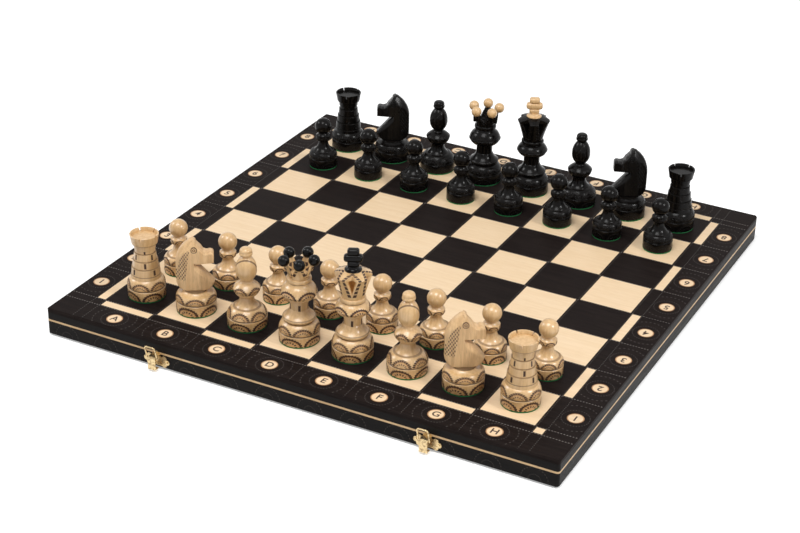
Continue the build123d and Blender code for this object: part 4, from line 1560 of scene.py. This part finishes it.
    def crest(self) -> tuple[Vector, float]:
        """Work out the arc of the crest.

        Returns:
            Its middle, above the sole, and its radius.
        """
        foot, tip = Vector((-self.bulge_r, self.mane_tall)), Vector((-self.ear_back, self.tall))
        middle = Turning.centre(foot, Vector((-self.crest_out, self.crest_up)), tip)
        return middle, (tip - middle).length

    def eyes(self, sole: float) -> Part:
        """Make the ring pressed round each eye, and the eye.

        Args:
            sole: height of the head's underside.

        Returns:
            The part.
        """
        bm = bmesh.new()
        out = self.half_thickness(self.eye_x, self.eye_z)
        for side in (-1, 1):
            before = set(bm.verts)
            ring = Turning(-self.eye_sink, self.ring_radii[0]).to(self.ring_radii[1], self.ring_rise)
            ring.to(self.ring_radii[2], 0.0, self.ring_bulge).to(self.ring_radii[3], -self.ring_rise).spin(bm)
            pupil = Turning(-self.eye_sink, self.pupil_radii[0]).to(self.pupil_radii[1], self.pupil_rise)
            pupil.to(0).spin(bm)
            verts = [v for v in bm.verts if v not in before]
            place = Matrix.Translation(Vector((self.eye_x, side * out, sole + self.eye_z)) * MM)
            bmesh.ops.transform(bm, matrix=place @ Matrix.Rotation(-side * math.pi / 2, 4, "X"), verts=verts)
        return Part("eyes", Shapes.finish_mesh(bm, "knight_eyes"), self.carved(sole), self.slot())

    def parts(self) -> list[Part]:
        """Build the base, the head, the eyes and the felt.

        Returns:
            The parts.
        """
        base = self.foot().to(self.lip_r, self.lip, -self.cove).to(self.neck_r, self.step)
        sole = base.to(self.neck_r, self.neck).z
        bm = bmesh.new()
        base.to(0).spin(bm)
        # Dark band under the head: partly a burnt line, partly painted shade under the head's overhang.
        neck_burn_and_shade = DashRow(sole - self.step, sole + self.cove, strength=self.joint_burn_and_shade)
        wood = self.wood_part(bm, self.turned(dashes=[neck_burn_and_shade]))
        return [wood, self.head(sole), self.eyes(sole), self.felt_part()]


@dataclass
class Bishop(Chessman):
    """A bishop: cone, collar, and a mitre with a burnt slit that rises towards +X."""

    radius: float = 18.6
    shoulder_r: float = 12.2
    drum_phase: float = 0.78
    shoulder_phase: float = 0.8
    neck_r: float = 6.6
    cone: float = 10.2
    collar_r: float = 12.6
    cup: float = 7.9
    rim: float = 1.3
    top: float = 4.9
    neck: float = 2.3
    waist_r: float = 5.4
    mitre_r: float = 9.5
    mitre_low: float = 11.6
    mitre_high: float = 12.6
    mitre_bulge: float = 1.5
    top_r: float = 3.9
    slit: float = 0.9
    slit_lean: float = 60.0
    ball_r: float = 5.6
    ball_low: float = 3.9
    ball_high: float = 4.2
    tip_r: float = 2.5
    tip: float = 0.2
    rim_bulge: float = 0.2
    cup_share: float = 0.4
    cup_phase: float = 0.88
    slit_share: float = 0.8
    slit_gap: float = -1.4
    slit_dark: float = 0.75

    def parts(self) -> list[Part]:
        """Build the turned body and the felt.

        Returns:
            The parts.
        """
        body = self.foot().to(self.shoulder_r - self.step)
        ledge = self.seam(body.z)
        body.to(self.neck_r, self.cone, -self.hollow)
        rise = self.cup_share * (self.cup + self.top) + self.rim
        low = body.z + (1 - self.cup_share) * self.cup
        arcs = [ArcRow(low, rise, self.drum_arcs, self.cup_phase, beads=1.0)]
        body.to(self.collar_r, self.cup, self.bulge).to(self.collar_r, self.rim, self.rim_bulge)
        body.to(self.waist_r + 2 * self.step, self.top, self.cove).to(self.waist_r, self.neck, -self.cove)
        body.to(self.mitre_r, self.mitre_low, self.mitre_bulge)
        lean = 1 / math.tan(math.radians(self.slit_lean))
        rims = [RimRow(near=0.0, lean=lean, low=body.z, count=1, back=0.0, half=self.slit_share * self.slit,
                       gap=self.slit_gap, strength=self.slit_dark)]
        body.to(self.top_r, self.mitre_high, self.mitre_bulge).to(self.ball_r, self.ball_low, self.bulge)
        body.to(self.tip_r, self.ball_high, self.bulge).to(0, self.tip)
        bm = bmesh.new()
        body.spin(bm)
        return [self.wood_part(bm, self.turned(arcs, [ledge], rims)), self.felt_part()]


@dataclass
class Royal(Chessman):
    """What king and queen share: a bell, a narrow waist, a collar and a bead."""

    radius: float = 18.9
    drum: float = 11.4
    shoulder_r: float = 14.7
    cove_r: float = 13.4
    cove_tall: float = 1.0
    bell_under: float = 1.4
    bell_r: float = 15.0
    bell_rim: float = 2.4
    bell: float = 7.2
    waist_r: float = 8.4
    waist: float = 9.0
    waist_dashes: int = 5
    waist_share: float = 0.6
    waist_phase: float = 0.5
    dash_half: float = 0.1
    collar_r: float = 16.4
    cup: float = 6.8
    rim: float = 1.6
    top_r: float = 12.9
    top: float = 6.6
    cup_share: float = 0.25
    top_share: float = 0.6
    collar_phase: float = 0.1
    neck_r: float = 10.4
    neck: float = 3.6
    neck_hollow: float = 0.4
    bead_r: float = 11.3
    bead: float = 2.6
    bead_edge: float = 0.9

    def stem(self) -> tuple[Turning, list[ArcRow], list[DashRow]]:
        """Turn the body up to the top of the bead.

        Returns:
            The outline, the arcs on the collar, and the dashes on the waist with the lines round the body.
        """
        body = self.foot().to(self.cove_r, self.cove_tall)
        rows = [self.seam(body.z)]
        body.to(self.bell_r, self.bell_under).to(self.bell_r, self.bell_rim, self.cove)
        rows.append(self.seam(body.z))
        body.to(self.waist_r + self.step, self.bell, -2 * self.cove).to(self.waist_r, self.step)
        high = body.z + self.waist_share * self.waist
        rows.append(DashRow(body.z, high, self.waist_dashes, self.waist_phase, self.dash_half))
        body.to(self.waist_r, self.waist)
        rise = self.cup_share * self.cup + self.rim + self.top_share * self.top
        low = body.z + (1 - self.cup_share) * self.cup
        arcs = [ArcRow(low, rise, self.drum_arcs, self.collar_phase)]
        body.to(self.collar_r, self.cup, self.bulge).to(self.collar_r, self.rim, self.cove)
        body.to(self.top_r, self.top, self.step).to(self.neck_r, self.neck, -self.neck_hollow)
        rows.append(self.seam(body.z))
        edge, bulge = self.bead_edge, self.cove / 2
        body.to(self.bead_r, edge, bulge).to(self.bead_r, self.bead, bulge)
        return body.to(self.bead_r - edge, edge, bulge), arcs, rows


@dataclass
class Queen(Royal):
    """A queen: collar, bead, and a coronet with a ball on each of its points."""

    drum_phase: float = 0.88
    shoulder_phase: float = 0.57
    foot_r: float = 9.8
    coronet_r: float = 13.2
    coronet: float = 14.0
    wall: float = 2.2
    floor: float = 3.0
    points: int = 5
    notch_deep: float = 11.5
    notch_wide: float = 11.0
    plain_tip: float = 3.4
    ball_r: float = 5.3
    ball_ring: float = 14.2
    ball_up: float = 3.7
    rows: int = 14
    notch_flat: float = 0.03
    ball_segments: tuple[int, int] = (40, 24)
    dash_back: float = 1.0
    dash_wide: float = 0.95
    dash_gap: float = -0.35
    dash_pitch: float = 4.0

    def crown(self, bm: bmesh.types.BMesh, low: float) -> float:
        """Build the notched coronet.

        Args:
            bm: mesh that takes it.
            low: height of its foot.

        Returns:
            Height of its rim.
        """
        rim = low + self.coronet
        floor = low + self.floor
        cup = Turning(low).to(self.foot_r)
        for i in range(self.rows):
            share = (i + 1) / self.rows
            sag = -self.step * math.sin(math.pi * share)
            cup.to(self.foot_r + (self.coronet_r - self.foot_r) * share + sag, self.coronet / self.rows)
        inner, outer = self.foot_r - self.wall, self.coronet_r - self.wall
        cup.to(outer)
        for i in range(self.rows):
            cup.to(outer + (inner - outer) * (i + 1) / self.rows, (floor - rim) / self.rows)
        faces = cup.to(0).spin(bm)
        base = rim - self.notch_deep
        for vert in {v for face in faces for v in face.verts}:
            x, y, z = vert.co / MM
            if z <= base or math.hypot(x, y) < inner - SLACK:
                continue
            turn = (math.atan2(y, x) / math.tau * self.points + 0.5) % 1
            reach = (0.5 - abs(turn - 0.5)) * math.tau * self.coronet_r / self.points
            height = min(1.0, max(self.notch_flat, reach / (self.notch_wide / 2)))
            vert.co.z = (base + (z - base) * height) * MM
        return rim

    def balls(self, rim: float) -> Part:
        """Make the balls on the coronet's points.

        Args:
            rim: height of the coronet's rim.

        Returns:
            The part.
        """
        bm = bmesh.new()
        around, up = self.ball_segments
        for i in range(self.points):
            turn = Matrix.Rotation(math.tau * i / self.points, 3, "Z")
            place = turn @ Vector((self.ball_ring, 0.0, rim + self.ball_up))
            bmesh.ops.create_uvsphere(bm, u_segments=around, v_segments=up, radius=self.ball_r * MM,
                                      matrix=Matrix.Translation(place * MM))
        mesh = Shapes.finish_mesh(bm, "queen_balls")
        return Part("balls", mesh, self.contrast(), self.slot(other=True), "_balls")

    def parts(self) -> list[Part]:
        """Build the turned body with its coronet, the balls and the felt.

        Returns:
            The parts.
        """
        body, arcs, dashes = self.stem()
        bm = bmesh.new()
        body.to(0).spin(bm)
        rim = self.crown(bm, body.z)
        edges = RimRow(near=0.0, lean=-self.notch_wide / 2 / self.notch_deep, low=rim - self.notch_deep,
                       count=self.points, back=self.dash_back, half=self.dash_wide, gap=self.dash_gap,
                       slant=1.0, facing=0.0, phase=0.5, pitch=self.dash_pitch, high=rim - self.plain_tip)
        return [self.wood_part(bm, self.turned(arcs, dashes, [edges])), self.balls(rim), self.felt_part()]


@dataclass
class King(Royal):
    """A king: collar, bead, and a notched crown with a cross on it."""

    drum_phase: float = 0.54
    shoulder_phase: float = 0.07
    collar_r: float = 15.8
    cup: float = 5.8
    top_r: float = 11.9
    top: float = 5.6
    neck_r: float = 10.6
    neck: float = 1.0
    neck_hollow: float = 0.2
    bead_r: float = 11.6
    bead: float = 2.4
    foot_r: float = 10.2
    crown_r: float = 16.6
    crown: float = 21.0
    crown_edge: float = 2.0
    dome: float = 3.0
    notches: int = 5
    notch_r: float = 10.9
    notch_open: float = 1.2
    notch_up: float = 2.3
    notch_wide: float = 5.5
    border: float = 0.9
    scoop: float = 3.2
    finial_r: float = 7.8
    finial_foot: float = 4.2
    bars: tuple[tuple[float, float], ...] = ((10.6, 4.6), (17.0, 6.4), (10.8, 5.6))
    finial_thick: float = 7.6
    finial_round: float = 0.38
    finial_turn: float = 26.5
    crown_segments: int = 240
    crown_rows: float = 0.6
    foot_bulge: float = 0.2
    bevel_steps: int = 6
    dash_back: float = 1.9
    dash_wide: float = 1.5
    dash_gap: float = -0.6
    dash_pitch: float = 3.2

    def cut_crown(self, bm: bmesh.types.BMesh, low: float) -> float:
        """Turn the crown and cut its notches, each a wide V with a deeper scoop in it.

        Args:
            bm: mesh that takes it.
            low: height of its foot.

        Returns:
            Height of the finial's seat.
        """
        outline = Turning(low).to(self.foot_r).to(self.crown_r, self.crown, -self.cove)
        outline.to(self.crown_r - self.step, self.crown_edge, self.step)
        outline.to(self.finial_r, self.dome, self.cove)
        seat = outline.z
        faces = outline.refine(self.crown_rows).to(0).spin(bm, segments=self.crown_segments)
        for vert in {v for face in faces for v in face.verts}:
            radius = math.hypot(vert.co.x, vert.co.y) / MM
            cell = math.atan2(vert.co.y, vert.co.x) / math.tau * self.notches
            angle = (cell - round(cell)) * math.tau / self.notches
            facing = math.cos(angle) - abs(math.sin(angle)) / self.notch_open
            deep = radius * facing - self.notch_r
            if deep > 0 and radius > self.finial_r + SLACK:
                under = min(max((low + self.crown - vert.co.z / MM) / self.crown_edge, 0.0), 1.0)
                scoop = min(max(deep - self.border, 0.0) * 2, self.scoop) * under
                share = (self.notch_r - scoop) / facing / radius
                vert.co.x *= share
                vert.co.y *= share
        return seat

    def finial(self, seat: float) -> Part:
        """Make the cross on its turned foot.

        Args:
            seat: height that it stands on.

        Returns:
            The part.
        """
        bm = bmesh.new()
        stem = self.bars[0][0] / 2
        foot = Turning(seat).to(self.finial_r)
        foot.to(self.finial_r - self.step / 2, 2 * self.step, self.foot_bulge)
        foot.to(stem - self.step, self.finial_foot - 2 * self.step, -2 * self.cove).to(0)
        foot.spin(bm)
        low = seat + self.finial_foot - self.step
        for wide, tall in self.bars:
            tall += self.step
            place = Matrix.Translation(Vector((0, 0, low + tall / 2)) * MM)
            size = Matrix.Diagonal(Vector((wide, self.finial_thick, tall, 1 / MM)) * MM)
            made = bmesh.ops.create_cube(bm, size=1.0, matrix=place @ size)
            edges = list({e for v in made["verts"] for e in v.link_edges})
            bmesh.ops.bevel(bm, geom=edges, offset=self.finial_round * tall * MM, affect="EDGES",
                            segments=self.bevel_steps, profile=0.5, material=-1)
            low += tall - self.step
        bmesh.ops.rotate(bm, verts=bm.verts, matrix=Matrix.Rotation(math.radians(self.finial_turn), 3, "Z"))
        mesh = Shapes.finish_mesh(bm, "king_finial")
        return Part("finial", mesh, self.contrast(), self.slot(other=True), "_finial")

    def parts(self) -> list[Part]:
        """Build the turned body with its crown, the finial and the felt.

        Returns:
            The parts.
        """
        body, arcs, dashes = self.stem()
        low = body.z
        bm = bmesh.new()
        seat = self.cut_crown(bm, low)
        body.to(0).spin(bm)
        # Besides the dashes, this row paints shade in the hollows of the notches.
        edges = RimRow(near=self.notch_r, lean=0.0, low=low + self.notch_up, count=self.notches,
                       back=self.dash_back, half=self.dash_wide, gap=self.dash_gap,
                       slant=1 / self.notch_open, pitch=self.dash_pitch,
                       opens=self.notch_wide / (self.crown - self.notch_up), top=low + self.crown)
        return [self.wood_part(bm, self.turned(arcs, dashes, [edges])), self.finial(seat), self.felt_part()]


@dataclass
class Side:
    """One army, set out on its two rows."""

    army: Army
    board: "Board"
    headings: dict[str, float]

    def build(self) -> None:
        """Build each kind once and stand a copy of it on each of its squares."""
        back, front = (0, 1) if self.army is Army.PALE else (7, 6)
        kinds = (Rook, Knight, Bishop, Queen, King, Bishop, Knight, Rook)
        made = {kind: kind(self.army).parts() for kind in dict.fromkeys((*kinds, Pawn))}
        for file, kind in enumerate(kinds):
            letter = FILES[file].lower()
            name = kind.__name__.lower()
            node = f"{self.army.value}_{name}" + ("" if kind in (King, Queen) else f"_{letter}")
            self.stand(made[kind], node, file, back, self.headings.get(name, 0.0))
            self.stand(made[Pawn], f"{self.army.value}_pawn_{letter}", file, front, 0.0)

    def stand(self, parts: Sequence[Part], node: str, file: int, rank: int, heading: float) -> None:
        """Stand a chessman on a square.

        Args:
            parts: its parts on the Z axis.
            node: its node's name.
            file: file from 0.
            rank: rank from 0.
            heading: its turn in degrees.
        """
        for part in parts:
            turn = 0.0 if part.name == "finial" else heading
            mesh = part.mesh.copy()
            mesh.transform(self.board.square_place(file, rank) @ Matrix.Rotation(math.radians(turn), 4, "Z"))
            replaces = [] if part.stands_for is None else [node + part.stands_for]
            Shapes.show(mesh, f"{node}_{part.name}", f"{node}_man", part.finish, part.slot, replaces)


# Board

@dataclass
class Board:
    """The folding board: panels, inlays, rails, hinges and clasps. Millimetres."""

    side: float = 520.0
    square: float = 55.3
    band: float = 10.2
    thick: float = 26.4
    arc_pitch: float = 43.3
    disc_r: float = 7.6
    letter: float = 10.8
    letter_bold: float = 0.17
    letter_rise: float = 0.06

    @property
    def field(self) -> float:
        """Half the playing field's side."""
        return 4 * self.square

    @property
    def disc_at(self) -> float:
        """Distance of the coordinate discs from the middle."""
        return (self.field + self.band + self.side / 2) / 2

    def middle(self, number: int) -> float:
        """Distance of a file's or rank's middle, counted from 0, from the board's middle."""
        return (number - 3.5) * self.square

    def square_place(self, file: int, rank: int) -> Matrix:
        """Give the middle of a square on the playing face."""
        return Matrix.Translation(Vector((self.middle(file), self.middle(rank), self.thick)) * MM)

    def dress(self) -> None:
        """Give every board node its finish."""
        veneer = PaleVeneer("pale_veneer", self.square * MM, disc=self.disc_at * MM, disc_r=self.disc_r * MM)
        string = PaleVeneer("string_veneer", self.square * MM, light=(0.62, 0.41, 0.2, 1),
                            deep=(0.5, 0.32, 0.15, 1))
        panel = StainedPanel("stained_panel", self.square * MM, self.field * MM, self.band * MM,
                             self.disc_at * MM, self.thick * MM)
        across = StainedRail("stained_rail_across", self.arc_pitch * MM, True)
        along = StainedRail("stained_rail_along", self.arc_pitch * MM, False)
        brass = AgedBrass("aged_brass")
        finishes = {"_panel": panel, "_inlay": veneer, "_stringing": string, "front_rail": across,
                    "back_rail": across, "spine_rail": along, "left_rail": along, "right_rail": along}
        for name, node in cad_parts.items():
            if node.hide_render or name.startswith(("white_", "black_")):
                continue
            finish = next((f for ending, f in finishes.items() if name.endswith(ending)), brass)
            node.data.materials.clear()
            node.data.materials.append(finish.material())
            LOG.info("%s: %s", name, finish.name)

    def label(self, text: str, x: float, y: float, turned: bool) -> bpy.types.Mesh:
        """Draw one coordinate on its disc.

        Args:
            text: the character.
            x: disc's middle.
            y: disc's middle.
            turned: whether it faces the far player.

        Returns:
            The character's mesh, in place.
        """
        curve = bpy.data.curves.new("coordinate", "FONT")
        curve.body = text
        curve.size = self.letter * MM
        curve.align_x = "CENTER"
        curve.align_y = "CENTER"
        curve.extrude = self.letter_rise / 2 * MM
        curve.offset = self.letter_bold * MM
        holder = Shapes.add("coordinate", curve)
        bpy.context.view_layer.update()
        mesh = bpy.data.meshes.new_from_object(holder.evaluated_get(bpy.context.evaluated_depsgraph_get()))
        bpy.data.objects.remove(holder)
        bpy.data.curves.remove(curve)
        place = Matrix.Translation(Vector((x, y, self.thick + self.letter_rise / 2)) * MM)
        mesh.transform(place @ Matrix.Rotation(math.pi if turned else 0.0, 4, "Z"))
        return mesh

    def letters(self) -> None:
        """Burn the coordinates into the discs of each half."""
        places: dict[str, list] = {"near": [], "far": []}
        for i, letter in enumerate(FILES):
            at = self.middle(i)
            half = "near" if at < 0 else "far"
            places["near"].append((letter, at, -self.disc_at, False))
            places["far"].append((letter, at, self.disc_at, True))
            places[half].append((str(i + 1), -self.disc_at, at, False))
            places[half].append((str(i + 1), self.disc_at, at, True))
        for half, labels in places.items():
            bm = bmesh.new()
            for label in labels:
                bm.from_mesh(self.label(*label))
            name = f"{half}_coordinates"
            mesh = Shapes.write(bm, name)
            Shapes.show(mesh, name, f"{half}_half", BurntLetter("burnt_letter"), Slot.VENEER)

    def build(self) -> None:
        """Dress the nodes and burn in the coordinates."""
        self.dress()
        self.letters()


# Studio

@dataclass
class Studio:
    """Floor, soft lights and the camera. Metres and degrees, with the lens in millimetres."""

    floor_z: float
    camera_at: Axes = (0.7251, -1.4567, 0.8946)
    aim: Axes = (0.0500, 0.0138, 0.0264)
    roll: float = 2.417
    focal: float = 84.0
    sensor: float = 36.0
    shift: tuple[float, float] = (-0.0942, -0.0020)
    far: float = 50.0
    floor_half: float = 12.0
    surround: float = 0.26
    lamps: tuple = (("left_softbox", (-1.8, -0.45, 1.3), 0.5, 12.0),
                    ("right_softbox", (1.75, -0.25, 1.45), 0.4, 20.0),
                    ("top_softbox", (0.1, -0.9, 2.2), 1.0, 31.0))

    def floor(self) -> None:
        """Lay a pale floor that stays white behind the object and keeps its shadow."""
        bm = bmesh.new()
        bmesh.ops.create_grid(bm, x_segments=1, y_segments=1, size=self.floor_half,
                              matrix=Matrix.Translation((0, 0, self.floor_z)))
        mesh = Shapes.write(bm, "floor")
        mesh.materials.append(PaleFloor("pale_floor").material())
        floor = Shapes.add("floor", mesh)

    def lamp(self, name: str, place: Axes, size: float, watts: float) -> None:
        """Hang a square soft lamp that faces the board.

        Args:
            name: the lamp's name.
            place: where it hangs.
            size: its side.
            watts: its power.
        """
        light = bpy.data.lights.new(name, "AREA")
        light.size = size
        light.energy = watts
        lamp = Shapes.add(name, light)
        lamp.location = place
        lamp.rotation_euler = (-Vector(place)).to_track_quat("-Z", "Y").to_euler()

    def lights(self) -> None:
        """Hang the lamps and set up a white surround."""
        for lamp in self.lamps:
            self.lamp(*lamp)
        world = bpy.data.worlds.new("surround")
        world.use_nodes = True
        bpy.context.scene.world = world
        w = Wiring(world.node_tree)
        background = next(n for n in world.node_tree.nodes if n.type == "BACKGROUND")
        seen = w.seen("Camera", "Glossy", "Transmission")
        w.feed(background, {"Color": (1, 1, 1, 1), "Strength": w.spread(seen, self.surround, 1.0)})

    def camera(self) -> None:
        """Stand the camera where the picture is taken from."""
        data = bpy.data.cameras.new("camera")
        data.lens = self.focal
        data.sensor_width = self.sensor
        data.shift_x, data.shift_y = self.shift
        data.clip_end = self.far
        camera = Shapes.add("camera", data)
        look = (Vector(self.aim) - Vector(self.camera_at)).to_track_quat("-Z", "Y").to_matrix().to_4x4()
        camera.matrix_world = (Matrix.Translation(self.camera_at) @ look
                               @ Matrix.Rotation(math.radians(self.roll), 4, "Z"))
        bpy.context.scene.camera = camera

    def build(self) -> None:
        """Set up the studio."""
        self.floor()
        self.lights()
        self.camera()
        bpy.context.scene.view_settings.view_transform = "Standard"


def main() -> None:
    """Build the board, both armies and the studio."""
    logging.basicConfig(level=logging.INFO, format="%(name)s: %(message)s")
    board = Board()
    Side(Army.PALE, board, {"knight": 32.0, "bishop": -62.0, "queen": 14.0, "king": -66.0}).build()
    Side(Army.DARK, board, {"knight": 207.0, "bishop": -8.0, "queen": 34.0, "king": -28.0}).build()
    board.build()
    Studio(CAD_BOX[0].z).build()


if __name__ == "__main__":
    main()
